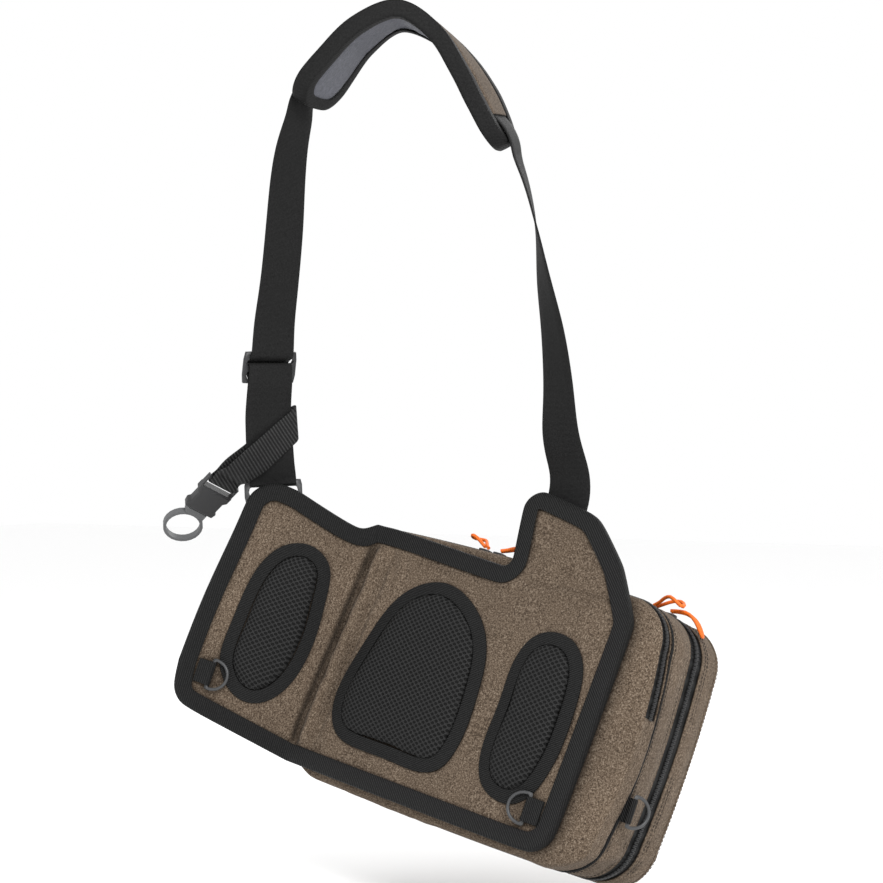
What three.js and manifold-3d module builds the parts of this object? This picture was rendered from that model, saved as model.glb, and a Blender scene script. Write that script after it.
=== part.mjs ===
// Fishing tackle sling bag: a zipped fabric body behind a padded back panel with a folding wing,
// hung by a wide shoulder strap with a sliding shoulder pad. Millimetres, +Z up.
// The origin is where the bag hangs: the middle of the shoulder pad's underside.
import * as THREE from "three";
import { mergeVertices } from "three/addons/utils/BufferGeometryUtils.js";
import Module from "manifold-3d";

const wasm = await Module();
wasm.setup();

// Body sizes
const BODY_WIDTH = 310;
const BODY_HEIGHT = 222;
const BODY_CORNER = 36;
const CLOTH = 2;
const SEAM_GAP = 0.3;
const POCKET_DEPTH = 28;
const GUSSET_DEPTH = 32;
const MAIN_ZIP_WIDTH = 25;
const LID_DEPTH = 26;
const LID_DOME = 24;
const REAR_ZIP_WIDTH = 15;
const ZIP_THICKNESS = 1.4;
const ZIP_SINK = 1.2;

// Back panel sizes
const PANEL_THICKNESS = 5;
const CENTRE_WIDTH = 270;
const PANEL_HEIGHT = 212;
const WING_WIDTH = 122;
const EAR_WIDTH = 138;
const EAR_HEIGHT = 70;
const EDGE_MARGIN = 26.5;
const PANEL_DROP = 4;
const CREASE_LEAN = 3.9;
const WING_FOLD = 37;
const RIB_WIDTH = 20;
const RIB_HEIGHT = 2.4;
const TAPE_WIDTH = 13;
const TAPE_THICKNESS = 1.1;
const TAPE_GAP = 1.1;

// Pads on the panel
const PAD_TAPE_WIDTH = 11;
const PAD_EDGE = 1.6;
const PAD_RIM = 4.2;
const PAD_CROWN = 9;
const CENTRE_PAD = { width: 135, height: 154, across: 0.348, up: 0.512 };
const SIDE_PAD = { width: 70, height: 143, across: 0.802, up: 0.477 };
const WING_PAD = { width: 72, height: 146, across: 0.377, up: 0.51 };

// Rings and their webbing tabs
const TAB_WIDTH = 20;
const TAB_THICKNESS = 1.2;
const RING_WIRE = 3;
const RING_INNER_WIDTH = 22;
const RING_REACH = 16;
const RING_TILT = 14;
const SIDE_RING_TILT = 57;
const TAB_LENGTH = 12;
const SIDE_TAB_LENGTH = 7;
const RING_CLEARANCE = 0.3;
const WIRE_CORNER = 0.71;

// Strap and shoulder pad
const STRAP_WIDTH = 40;
const STRAP_THICKNESS = 1.6;
const LOOP_TURN = 32.73;
const RING_DROP = 376.4;
const RING_REACH_LEFT = 107.8;
const RING_SETBACK = 98.6;
const PAD_WIDTH = 68;
const PAD_LENGTH = 257;
const PAD_LEFT_SHARE = 0.43;
const PAD_FOAM = 8;
const PAD_COVER = 1.4;
const PAD_SPAN = 178;
const PAD_FALL = 131;
const PAD_BINDING_WIDTH = 9;
const LAYER_GAP = 0.8;

// Strap hardware
const SLIDER_WIDTH = 49;
const SLIDER_HEIGHT = 28;
const SLIDER_WIRE = 3;
const SLIDER_UP = 106;
const LOOP_RING_WIRE = 3.8;
const LOOP_RING_HEIGHT = 20;
const BUCKLE_WEBBING = 25;
const BUCKLE_WEBBING_THICKNESS = 1.4;
const BUCKLE_LENGTH = 36;
const BUCKLE_WIDTH = 31;
const BUCKLE_THICKNESS = 10;
const PLUG_RING_OUTER = 34.5;
const PLUG_RING_WALL = 2.5;
const PLUG_RING_THICKNESS = 6;

// Zip sliders and pull cords
const CORD_DIAMETER = 3;
const ZIP_SLIDER = { length: 11, width: 9, height: 3.4 };

// How the bag hangs below the strap: tipped back and rolled to the right
const BAG_PITCH = -17.76;
const BAG_ROLL = 11.94;

const rad = THREE.MathUtils.degToRad;
const v3 = (x, y, z) => new THREE.Vector3(x, y, z);
const v2 = (x, y) => new THREE.Vector2(x, y);

// Colours
const finish = (color, roughness, metalness) => () =>
  new THREE.MeshStandardMaterial({ color, roughness, metalness });
const BROWN_CLOTH = finish(0x6b5b4a, 0.9, 0);
const BLACK_WEBBING = finish(0x17181b, 0.75, 0);
const BLACK_MESH = finish(0x1b1c1f, 0.85, 0);
const GREY_LINING = finish(0x4b4b57, 0.95, 0);
const BLACK_PLASTIC = finish(0x222226, 0.45, 0);
const GREY_PLASTIC = finish(0x55575b, 0.4, 0.1);
const ORANGE_CORD = finish(0xff6a00, 0.6, 0);

// Collects vertices and faces, and gives them back as one closed geometry that faces outwards.
class Skin {
  constructor() {
    this.points = [];
    this.faces = [];
  }
  point(p) {
    this.points.push(p.x, p.y, p.z);
    return this.points.length / 3 - 1;
  }
  row(points) {
    return points.map((p) => this.point(p));
  }
  triangle(a, b, c) {
    if (a !== b && b !== c && c !== a) this.faces.push(a, b, c);
  }
  quad(a, b, c, d) {
    this.triangle(a, b, c);
    this.triangle(a, c, d);
  }
  geometry() {
    let volume = 0;
    const p = (i) => v3(this.points[3 * i], this.points[3 * i + 1], this.points[3 * i + 2]);
    for (let i = 0; i < this.faces.length; i += 3) {
      const [a, b, c] = this.faces.slice(i, i + 3).map(p);
      volume += a.dot(b.cross(c));
    }
    if (volume < 0) this.faces.reverse();
    const made = new THREE.BufferGeometry();
    made.setAttribute("position", new THREE.Float32BufferAttribute(this.points, 3));
    made.setIndex(this.faces);
    return made;
  }
}

// Closed loops joined one to the next; the first and last are closed by a fan round their middle.
function loft(loops, closedPath = false) {
  const skin = new Skin();
  const rows = loops.map((loop) => skin.row(loop));
  const count = rows[0].length;
  const pairs = closedPath ? rows.length : rows.length - 1;
  for (let i = 0; i < pairs; i++) {
    const here = rows[i];
    const next = rows[(i + 1) % rows.length];
    for (let j = 0; j < count; j++) {
      const k = (j + 1) % count;
      skin.quad(here[j], next[j], next[k], here[k]);
    }
  }
  if (closedPath) return skin.geometry();
  const middle = (loop) =>
    loop.reduce((sum, p) => sum.add(p), v3(0, 0, 0)).divideScalar(loop.length);
  const start = skin.point(middle(loops[0]));
  const end = skin.point(middle(loops[loops.length - 1]));
  const last = rows[rows.length - 1];
  for (let j = 0; j < count; j++) {
    const k = (j + 1) % count;
    skin.triangle(start, rows[0][j], rows[0][k]);
    skin.triangle(end, last[k], last[j]);
  }
  return skin.geometry();
}

// A wall between an outer and an inner grid of points. The columns close on themselves when wrap is
// set, a row whose points all coincide closes the wall, and a cell that isn't kept is left open.
function wall(outer, inner, wrap, keep = () => true) {
  const skin = new Skin();
  const single = (row) => row.every((p) => p.distanceTo(row[0]) < 1e-6);
  const indexed = (grid) =>
    grid.map((row) => (single(row) ? row.map(() => -1) : skin.row(row)));
  const close = (rows, grid) =>
    rows.forEach((row, i) => {
      if (row[0] === -1) row.fill(skin.point(grid[i][0]));
    });
  const out = indexed(outer);
  const into = indexed(inner);
  close(out, outer);
  close(into, inner);
  const rows = outer.length - 1;
  const columns = wrap ? outer[0].length : outer[0].length - 1;
  const next = (j) => (j + 1) % outer[0].length;
  const kept = (i, j) => {
    if (i < 0 || i >= rows) return false;
    if (!wrap && (j < 0 || j >= columns)) return false;
    return keep(i, (j + columns) % columns);
  };
  const side = (a, b) => skin.quad(out[b[0]][b[1]], out[a[0]][a[1]], into[a[0]][a[1]], into[b[0]][b[1]]);
  for (let i = 0; i < rows; i++) {
    for (let j = 0; j < columns; j++) {
      if (!kept(i, j)) continue;
      const n = next(j);
      skin.quad(out[i][j], out[i + 1][j], out[i + 1][n], out[i][n]);
      skin.quad(into[i][n], into[i + 1][n], into[i + 1][j], into[i][j]);
      if (!kept(i, j - 1)) side([i, j], [i + 1, j]);
      if (!kept(i + 1, j) && !single(outer[i + 1])) side([i + 1, j], [i + 1, n]);
      if (!kept(i, j + 1)) side([i + 1, n], [i, n]);
      if (!kept(i - 1, j) && !single(outer[i])) side([i, n], [i, j]);
    }
  }
  return skin.geometry();
}

// A solid for cutting and joining, and back again.
function solid(geometry) {
  const bare = geometry.clone();
  bare.deleteAttribute("normal");
  bare.deleteAttribute("uv");
  const merged = mergeVertices(bare, 1e-4);
  return new wasm.Manifold(
    new wasm.Mesh({
      numProp: 3,
      vertProperties: new Float32Array(merged.attributes.position.array),
      triVerts: new Uint32Array(merged.index.array),
    }),
  );
}
function geometryOf(manifold) {
  const mesh = manifold.getMesh();
  const made = new THREE.BufferGeometry();
  made.setAttribute("position", new THREE.Float32BufferAttribute(Array.from(mesh.vertProperties), 3));
  made.setIndex(Array.from(mesh.triVerts));
  return made;
}
const joined = (geometries) =>
  geometryOf(geometries.map(solid).reduce((whole, one) => whole.add(one)));
const cutAway = (geometry, tools) =>
  geometryOf(tools.map(solid).reduce((rest, tool) => rest.subtract(tool), solid(geometry)));

function box(width, depth, height, x = 0, y = 0, z = 0) {
  return new THREE.BoxGeometry(width, depth, height).translate(x, y, z);
}

// Corners { x, y, round } turned into an outline whose rounded corners are arcs.
function outlineOf(corners, steps = 5) {
  const outline = [];
  corners.forEach((corner, i) => {
    const here = v2(corner.x, corner.y);
    const before = corners[(i + corners.length - 1) % corners.length];
    const after = corners[(i + 1) % corners.length];
    const back = v2(before.x, before.y).sub(here);
    const on = v2(after.x, after.y).sub(here);
    const half = back.angleTo(on) / 2;
    if (!corner.round || half > 1.55) {
      outline.push(here);
      return;
    }
    const room = 0.48 * Math.min(back.length(), on.length());
    const reach = Math.min(corner.round / Math.tan(half), room);
    const start = here.clone().addScaledVector(back.normalize(), reach);
    const end = here.clone().addScaledVector(on.normalize(), reach);
    const count = Math.max(2, Math.round((steps * (Math.PI - 2 * half)) / (Math.PI / 2)));
    for (let k = 0; k <= count; k++) {
      const t = k / count;
      const w = Math.cos(Math.PI / 2 - half);
      const a = (1 - t) * (1 - t);
      const b = 2 * t * (1 - t) * w;
      const c = t * t;
      outline.push(
        v2(
          (a * start.x + b * here.x + c * end.x) / (a + b + c),
          (a * start.y + b * here.y + c * end.y) / (a + b + c),
        ),
      );
    }
  });
  return outline;
}

// A smooth closed outline through { x, y } points.
function smoothOutline(rows, count) {
  const curve = new THREE.CatmullRomCurve3(
    rows.map((row) => v3(row.x, row.y, 0)),
    true,
    "centripetal",
  );
  return curve.getSpacedPoints(count).slice(0, count).map((p) => v2(p.x, p.y));
}

// The outward direction at each point of an outline, long enough to keep offset edges parallel.
function outward(outline) {
  const turn = Math.sign(THREE.ShapeUtils.area(outline));
  return outline.map((p, i) => {
    const before = outline[(i + outline.length - 1) % outline.length];
    const after = outline[(i + 1) % outline.length];
    const a = p.clone().sub(before).normalize();
    const b = after.clone().sub(p).normalize();
    const n = v2(a.y + b.y, -a.x - b.x).normalize().multiplyScalar(turn);
    return n.divideScalar(Math.max(0.5, Math.abs(n.dot(v2(a.y, -a.x)))));
  });
}
const offsetOutline = (outline, distance) => {
  const out = outward(outline);
  return outline.map((p, i) => p.clone().addScaledVector(out[i], distance));
};

// A closed band round an outline, of a section given as { out, h } points.
function bandRound(outline, section, map) {
  const out = outward(outline);
  return loft(
    outline.map((p, i) => section.map((s) => map(p.clone().addScaledVector(out[i], s.out), s.h))),
    true,
  );
}

// A plate with a given outline, cut along lines so that it can bend there, with extra points on the
// lines. along(p) is the distance that the lines are measured by. While the faces are chosen, the
// extra points are pinched in a little, so that no face lies along a line.
const PINCH = 1e-4;
function plate(outline, { along, cuts, front, back, map, extras = [] }) {
  const crossing = (a, b, level) => {
    const fa = along(a) - level;
    const fb = along(b) - level;
    return a.clone().lerp(b, fa / (fa - fb));
  };
  const full = [];
  outline.forEach((p, i) => {
    const q = outline[(i + 1) % outline.length];
    full.push(p);
    cuts
      .filter((c) => (along(p) - c) * (along(q) - c) < -1e-9)
      .map((c) => crossing(p, q, c))
      .sort((a, b) => a.distanceTo(p) - b.distanceTo(p))
      .forEach((c) => full.push(c));
  });
  const levels = [-Infinity, ...cuts, Infinity];
  const direction = v2(along(v2(1, 0)) - along(v2(0, 0)), along(v2(0, 1)) - along(v2(0, 0)));
  const skin = new Skin();
  const seen = new Map();
  const vertex = (p, isFront) => {
    const key = `${p.x.toFixed(3)},${p.y.toFixed(3)},${isFront}`;
    if (!seen.has(key)) seen.set(key, skin.point(map(p, isFront ? front(p) : back(p))));
    return seen.get(key);
  };
  const near = 1e-6;
  for (let s = 0; s + 1 < levels.length; s++) {
    const inside = full.filter(
      (p) => along(p) >= levels[s] - near && along(p) <= levels[s + 1] + near,
    );
    if (inside.length < 3) continue;
    const ring = [];
    const pinched = [];
    inside.forEach((p, i) => {
      ring.push(p);
      pinched.push(p);
      const q = inside[(i + 1) % inside.length];
      const level = [levels[s], levels[s + 1]].find(
        (l) => Math.abs(along(p) - l) < 1e-4 && Math.abs(along(q) - l) < 1e-4,
      );
      if (level === undefined || p.distanceTo(q) < 1) return;
      const inwards = level === levels[s] ? 1 : -1;
      extras
        .map((e) => e(level))
        .filter((e) => e.distanceTo(p) < p.distanceTo(q) && e.distanceTo(q) < p.distanceTo(q))
        .sort((a, b) => a.distanceTo(p) - b.distanceTo(p))
        .forEach((e) => {
          const pinch = inwards * PINCH * e.distanceTo(p) * e.distanceTo(q);
          ring.push(e);
          pinched.push(e.clone().addScaledVector(direction, pinch));
        });
    });
    for (const [a, b, c] of THREE.ShapeUtils.triangulateShape(pinched, [])) {
      const turned = THREE.ShapeUtils.area([ring[a], ring[b], ring[c]]) > 0 ? [a, b, c] : [a, c, b];
      const [f, g, h] = turned.map((k) => ring[k]);
      skin.triangle(vertex(f, true), vertex(g, true), vertex(h, true));
      skin.triangle(vertex(f, false), vertex(h, false), vertex(g, false));
    }
  }
  full.forEach((p, i) => {
    const q = full[(i + 1) % full.length];
    skin.quad(vertex(q, true), vertex(p, true), vertex(p, false), vertex(q, false));
  });
  return skin.geometry();
}

// A strip of webbing: a thick line in the plane of s and h, as wide as the webbing across it.
function webbing(path, thickness, width, map) {
  const loops = path.map((p, i) => {
    const before = path[Math.max(0, i - 1)];
    const after = path[Math.min(path.length - 1, i + 1)];
    const a = p.clone().sub(before).normalize();
    const b = after.clone().sub(p).normalize();
    const along = a.clone().add(b).normalize();
    const across = v2(-along.y, along.x);
    const stretch = 1 / Math.max(0.6, Math.abs(across.dot(v2(-b.y, b.x)) || 1));
    const up = p.clone().addScaledVector(across, (stretch * thickness) / 2);
    const down = p.clone().addScaledVector(across, (-stretch * thickness) / 2);
    return [map(up, -width / 2), map(up, width / 2), map(down, width / 2), map(down, -width / 2)];
  });
  return loft(loops);
}

// A closed webbing loop, the same way, whose path ends where it starts.
function webbingLoop(path, thickness, width, map) {
  const out = outward(path);
  return loft(
    path.map((p, i) => {
      const up = p.clone().addScaledVector(out[i], thickness / 2);
      const down = p.clone().addScaledVector(out[i], -thickness / 2);
      return [map(up, -width / 2), map(up, width / 2), map(down, width / 2), map(down, -width / 2)];
    }),
    true,
  );
}

// A tube along a cord's points.
function cordTube(points) {
  const curve = new THREE.CatmullRomCurve3(points);
  const circle = new THREE.Shape();
  circle.absarc(0, 0, CORD_DIAMETER / 2, 0, 2 * Math.PI);
  const steps = Math.round(curve.getLength() / (2 * CORD_DIAMETER));
  return new THREE.ExtrudeGeometry(circle, {
    steps,
    curveSegments: 4,
    extrudePath: curve,
    bevelEnabled: false,
  });
}

// Scene groups: the strap hangs in its own plane, and the bag hangs from the strap.
const root = new THREE.Group();
const strapGroup = new THREE.Group();
strapGroup.rotation.z = rad(LOOP_TURN);
const bagGroup = new THREE.Group();
bagGroup.rotation.set(rad(BAG_PITCH), rad(BAG_ROLL), 0);
root.add(strapGroup, bagGroup);

function add(group, name, geometry, material) {
  const mesh = new THREE.Mesh(geometry, material());
  mesh.name = name;
  group.add(mesh);
  return mesh;
}

// The back panel is drawn flat: x across, y up from its lower edge. The crease between the centre
// and the wing leans a little, and the wing folds forward there round a small bend.
const lean = rad(CREASE_LEAN);
const fold = rad(WING_FOLD);
const panelRight = BODY_WIDTH / 2 - EDGE_MARGIN;
const creaseBase = panelRight - CENTRE_WIDTH;
const bendHalf = 0.2 * RIB_WIDTH;
const fromCrease = (p) => (p.x - creaseBase) * Math.cos(lean) - p.y * Math.sin(lean);
const upCrease = (p) => (p.x - creaseBase) * Math.sin(lean) + p.y * Math.cos(lean);
const besideCrease = (q, w) =>
  v2(
    creaseBase + q * Math.cos(lean) + w * Math.sin(lean),
    -q * Math.sin(lean) + w * Math.cos(lean),
  );

// A point of the flat drawing, h behind the panel's front face, where it lies on the bag.
function onPanel(p, h) {
  const q = fromCrease(p);
  if (q >= bendHalf) return v3(p.x, h, p.y);
  const w = upCrease(p);
  const turn = (fold * Math.min(bendHalf - q, 2 * bendHalf)) / (2 * bendHalf);
  const beyond = Math.max(0, -bendHalf - q);
  const radius = (2 * bendHalf) / fold;
  const across = bendHalf - (radius + h) * Math.sin(turn) - beyond * Math.cos(turn);
  const depth = -radius + (radius + h) * Math.cos(turn) - beyond * Math.sin(turn);
  const flat = besideCrease(across, w);
  return v3(flat.x, depth, flat.y);
}

// Corners of the panel, in order round it: shares of the centre's width from the crease and of the
// panel's height, then shares of the ear's size, then of the wing's width from the crease.
const EAR_EDGE = 1.018;
const CENTRE_CORNERS = [
  { across: 0.994, up: 0, round: 26 },
  { across: EAR_EDGE, up: 0.925, round: 26 },
];
const EAR_CORNERS = [
  { back: 0.196, rise: 0.371, round: 60 },
  { back: 0.457, rise: 0.857, round: 34 },
  { back: 0.993, rise: 1.02, round: 17 },
  { back: 0.905, rise: -0.01, round: 8 },
];
const TOP_CORNERS = [
  { across: 0.12, up: 1.024, round: 0 },
  { across: 0.03, up: 1.018, round: 0 },
  { across: -0.003, up: 0.982, round: 0 },
];
const WING_CORNERS = [
  { across: 0.07, up: 0.978, round: 0 },
  { across: 0.283, up: 1.005, round: 0 },
  { across: 0.52, up: 1.04, round: 20 },
  { across: 0.7, up: 1.05, round: 22 },
  { across: 0.853, up: 0.985, round: 22 },
  { across: 0.865, up: 0.811, round: 0 },
  { across: 0.922, up: 0.533, round: 0 },
  { across: 0.932, up: 0.25, round: 24 },
  { across: 0.9, up: 0.088, round: 30 },
  { across: 0.389, up: 0.042, round: 0 },
  { across: 0, up: 0.007, round: 0 },
];
const centrePlace = (row) =>
  v2(creaseBase + row.across * CENTRE_WIDTH, row.up * PANEL_HEIGHT);
const earRight = creaseBase + EAR_EDGE * CENTRE_WIDTH;
const earPlace = (row) =>
  v2(earRight - row.back * EAR_WIDTH, PANEL_HEIGHT + row.rise * EAR_HEIGHT);
const wingPlace = (row) => v2(creaseBase - row.across * WING_WIDTH, row.up * PANEL_HEIGHT);
const cornersFrom = (rows, place) =>
  rows.map((row) => ({ x: place(row).x, y: place(row).y, round: row.round }));
const panelEdge = outlineOf(
  [
    ...cornersFrom(CENTRE_CORNERS, centrePlace),
    ...cornersFrom(EAR_CORNERS, earPlace),
    ...cornersFrom(TOP_CORNERS, centrePlace),
    ...cornersFrom(WING_CORNERS, wingPlace),
  ],
  4,
);
const panelOutline = offsetOutline(panelEdge, -TAPE_GAP - TAPE_THICKNESS);

// The padded rib beside the crease: a groove at the fold, a rounded rib, then the stitched line.
const RIB_ROWS = [
  { at: -0.4, rise: 0 },
  { at: -0.2, rise: 0.2 },
  { at: 0, rise: -0.8 },
  { at: 0.2, rise: 0.4 },
  { at: 0.5, rise: 1 },
  { at: 0.8, rise: 0.6 },
  { at: 1, rise: -0.3 },
  { at: 1.25, rise: 0 },
];
const ribEnd = TAPE_WIDTH + 6;
const ribFull = 2.4 * TAPE_WIDTH;
const ribRise = (p) => {
  const row = RIB_ROWS.find((r) => Math.abs(fromCrease(p) - r.at * RIB_WIDTH) < 1e-3);
  const w = upCrease(p);
  const inside = Math.min(w, PANEL_HEIGHT - w);
  const share = THREE.MathUtils.clamp((inside - ribEnd) / (ribFull - ribEnd), 0, 1);
  return row ? row.rise * RIB_HEIGHT * share : 0;
};
const ribStations = [ribEnd, ribFull, PANEL_HEIGHT - ribFull, PANEL_HEIGHT - ribEnd];
add(
  bagGroup,
  "back_panel",
  plate(panelOutline, {
    along: fromCrease,
    cuts: RIB_ROWS.map((row) => row.at * RIB_WIDTH),
    front: (p) => -ribRise(p),
    back: () => PANEL_THICKNESS,
    extras: ribStations.map((w) => (q) => besideCrease(q, w)),
    map: onPanel,
  }),
  BROWN_CLOTH,
);

// Binding tape folded over the panel's edge; its outline also bends where the panel does.
const tapeFront = -TAPE_GAP - TAPE_THICKNESS;
const tapeBack = PANEL_THICKNESS + TAPE_GAP + TAPE_THICKNESS;
const bendOutline = panelOutline.flatMap((p, i) => {
  const q = panelOutline[(i + 1) % panelOutline.length];
  const levels = [1, 0.5, 0, -0.5, -1].map((share) => share * bendHalf).filter(
    (c) => (fromCrease(p) - c) * (fromCrease(q) - c) < -1e-9,
  );
  const points = levels.map((c) =>
    p.clone().lerp(q, (fromCrease(p) - c) / (fromCrease(p) - fromCrease(q))),
  );
  points.sort((a, b) => a.distanceTo(p) - b.distanceTo(p));
  return [p, ...points];
});
add(
  bagGroup,
  "panel_binding",
  bandRound(
    bendOutline,
    [
      { out: -TAPE_WIDTH, h: tapeFront },
      { out: TAPE_GAP + TAPE_THICKNESS, h: tapeFront },
      { out: TAPE_GAP + TAPE_THICKNESS, h: tapeBack },
      { out: -TAPE_WIDTH, h: tapeBack },
      { out: -TAPE_WIDTH, h: PANEL_THICKNESS + TAPE_GAP },
      { out: TAPE_GAP, h: PANEL_THICKNESS + TAPE_GAP },
      { out: TAPE_GAP, h: -TAPE_GAP },
      { out: -TAPE_WIDTH, h: -TAPE_GAP },
    ],
    onPanel,
  ),
  BLACK_WEBBING,
);

// Pads: outlines as shares of half the pad's size from its middle, in order round it.
const PAD_OUTLINES = {
  centre: [
    { x: 0, y: 1 },
    { x: 0.56, y: 0.82 },
    { x: 0.89, y: 0.47 },
    { x: 0.99, y: -0.07 },
    { x: 0.97, y: -0.65 },
    { x: 0.79, y: -0.97 },
    { x: -0.03, y: -1 },
    { x: -0.82, y: -0.94 },
    { x: -1, y: -0.6 },
    { x: -0.87, y: 0.05 },
    { x: -0.56, y: 0.74 },
  ],
  side: [
    { x: 0, y: 1 },
    { x: -0.63, y: 0.91 },
    { x: -0.96, y: 0.59 },
    { x: -0.97, y: 0.03 },
    { x: -1, y: -0.56 },
    { x: -0.71, y: -0.89 },
    { x: 0.09, y: -1 },
    { x: 0.6, y: -0.84 },
    { x: 0.93, y: -0.39 },
    { x: 0.99, y: 0.1 },
    { x: 0.87, y: 0.67 },
    { x: 0.51, y: 0.92 },
  ],
  wing: [
    { x: 0.14, y: 1 },
    { x: -0.5, y: 0.86 },
    { x: -0.86, y: 0.51 },
    { x: -0.99, y: -0.11 },
    { x: -0.97, y: -0.63 },
    { x: -0.58, y: -0.89 },
    { x: -0.17, y: -0.99 },
    { x: 0.36, y: -0.92 },
    { x: 0.8, y: -0.63 },
    { x: 1, y: -0.14 },
    { x: 0.94, y: 0.44 },
    { x: 0.78, y: 0.84 },
  ],
};
const PAD_SWELL = [
  { share: 0.86, rise: 0.72 },
  { share: 0.6, rise: 0.93 },
  { share: 0.3, rise: 1 },
];
const PAD_SIDES = 26;

function addPad(name, size, centre, shape) {
  const corners = shape.map((row) => ({
    x: centre.x + (row.x * size.width) / 2,
    y: centre.y + (row.y * size.height) / 2,
  }));
  const edge = smoothOutline(corners, PAD_SIDES);
  add(
    bagGroup,
    `${name}_pad_tape`,
    bandRound(
      edge,
      [
        { out: 0, h: -SEAM_GAP },
        { out: 0, h: -PAD_EDGE },
        { out: -PAD_TAPE_WIDTH, h: -PAD_RIM },
        { out: -PAD_TAPE_WIDTH, h: -SEAM_GAP },
      ],
      onPanel,
    ),
    BLACK_WEBBING,
  );
  const inner = offsetOutline(edge, -PAD_TAPE_WIDTH - SEAM_GAP);
  const shrunk = (share) =>
    inner.map((p) => p.clone().sub(centre).multiplyScalar(share).add(centre));
  const loops = [
    shrunk(0.5).map((p) => onPanel(p, -SEAM_GAP)),
    inner.map((p) => onPanel(p, -SEAM_GAP)),
    inner.map((p) => onPanel(p, -PAD_RIM)),
    ...PAD_SWELL.map((row) =>
      shrunk(row.share).map((p) => onPanel(p, -PAD_RIM - row.rise * (PAD_CROWN - PAD_RIM))),
    ),
  ];
  add(bagGroup, `${name}_pad`, loft(loops), BLACK_MESH);
}
addPad("centre", CENTRE_PAD, centrePlace(CENTRE_PAD), PAD_OUTLINES.centre);
addPad("side", SIDE_PAD, centrePlace(SIDE_PAD), PAD_OUTLINES.side);
addPad("wing", WING_PAD, wingPlace(WING_PAD), PAD_OUTLINES.wing);

// The body is drawn as rings, each a rounded rectangle seen from behind, set in from the body's
// outline, with swollen sides and a crowned top. It starts at the middle of the bottom.
const bodyBottom = -PANEL_DROP;
const bodyTop = bodyBottom + BODY_HEIGHT;
const SIDE_BULGE = 6;
const TOP_CROWN = 3;
const HINGE_HALF = 0.79;
const ZIP_END = 0.64;
const SIDE_SHARES = [0.32, ZIP_END, 0.82];
const CORNER_STEPS = 4;
function ring(y, inset, bulge) {
  const half = BODY_WIDTH / 2 - inset;
  const low = bodyBottom + inset;
  const high = bodyTop - inset;
  const round = Math.max(5, BODY_CORNER - inset);
  const points = [];
  const at = (x, z) => points.push(v3(x, y, z));
  const corner = (x, z, from) => {
    for (let k = 0; k <= CORNER_STEPS; k++) {
      const angle = from + (k / CORNER_STEPS) * (Math.PI / 2);
      at(x + round * Math.cos(angle), z + round * Math.sin(angle));
    }
  };
  const swell = (share) => bulge * SIDE_BULGE * 4 * share * (1 - share);
  const crown = (share) => TOP_CROWN * (1 - share * share);
  const flat = half - round;
  const upright = high - low - 2 * round;
  at(0, low - crown(0) / 2);
  at(flat * HINGE_HALF, low - crown(HINGE_HALF) / 2);
  corner(flat, low + round, -Math.PI / 2);
  SIDE_SHARES.forEach((s) => at(half + swell(s), low + round + s * upright));
  corner(flat, high - round, 0);
  [0.5, 0, -0.5].forEach((s) => at(flat * s, high + crown(s)));
  corner(-flat, high - round, Math.PI / 2);
  SIDE_SHARES.toReversed().forEach((s) => at(-half - swell(s), low + round + s * upright));
  corner(-flat, low + round, Math.PI);
  at(-flat * HINGE_HALF, low - crown(HINGE_HALF) / 2);
  return points;
}
const perSide = CORNER_STEPS + 1;
const columns = 4 + 4 * perSide + 2 * SIDE_SHARES.length + 2;
const zipEndColumn = 2 + perSide + SIDE_SHARES.indexOf(ZIP_END);
const onRearZip = (j) => j >= zipEndColumn && j < columns - zipEndColumn;
const onHinge = (j) => j === 0 || j === columns - 1;

// Rows of a shell: shares of a depth, insets as shares of the body's corner, and the side bulge.
const middleOf = (points) => {
  const x = points.reduce((sum, p) => sum + p.x, 0) / points.length;
  const z = points.reduce((sum, p) => sum + p.z, 0) / points.length;
  return points.map((p) => v3(x, p.y, z));
};
const gridOf = (rows, start, depth, sink) =>
  rows.map((row) => ring(start + row.at * depth, row.inset * BODY_CORNER + sink, row.bulge));

const bodyBack = tapeBack + SEAM_GAP;
const rearZipFrom = 0.3;
const rearZipTo = rearZipFrom + REAR_ZIP_WIDTH / POCKET_DEPTH;
const POCKET_ROWS = [
  { at: 0, inset: 0.6, bulge: 0 },
  { at: 0.07, inset: 0.28, bulge: 0.4 },
  { at: 0.18, inset: 0.08, bulge: 0.8 },
  { at: rearZipFrom, inset: 0, bulge: 1.1 },
  { at: rearZipTo, inset: -0.02, bulge: 1.4 },
  { at: 1, inset: 0.04, bulge: 1.1 },
];
function tray(rows, start, depth, keep) {
  const outer = gridOf(rows, start, depth, 0);
  const inner = gridOf(rows, start, depth, CLOTH);
  inner[0] = ring(start + rows[0].at * depth + CLOTH, rows[0].inset * BODY_CORNER + CLOTH, 0);
  return wall([middleOf(outer[0]), ...outer], [middleOf(inner[0]), ...inner], true, keep);
}
const rearZipRow = POCKET_ROWS.findIndex((row) => row.at === rearZipFrom) + 1;
add(
  bagGroup,
  "rear_pocket",
  tray(POCKET_ROWS, bodyBack, POCKET_DEPTH, (i, j) => i !== rearZipRow || !onRearZip(j)),
  BROWN_CLOTH,
);

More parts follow.
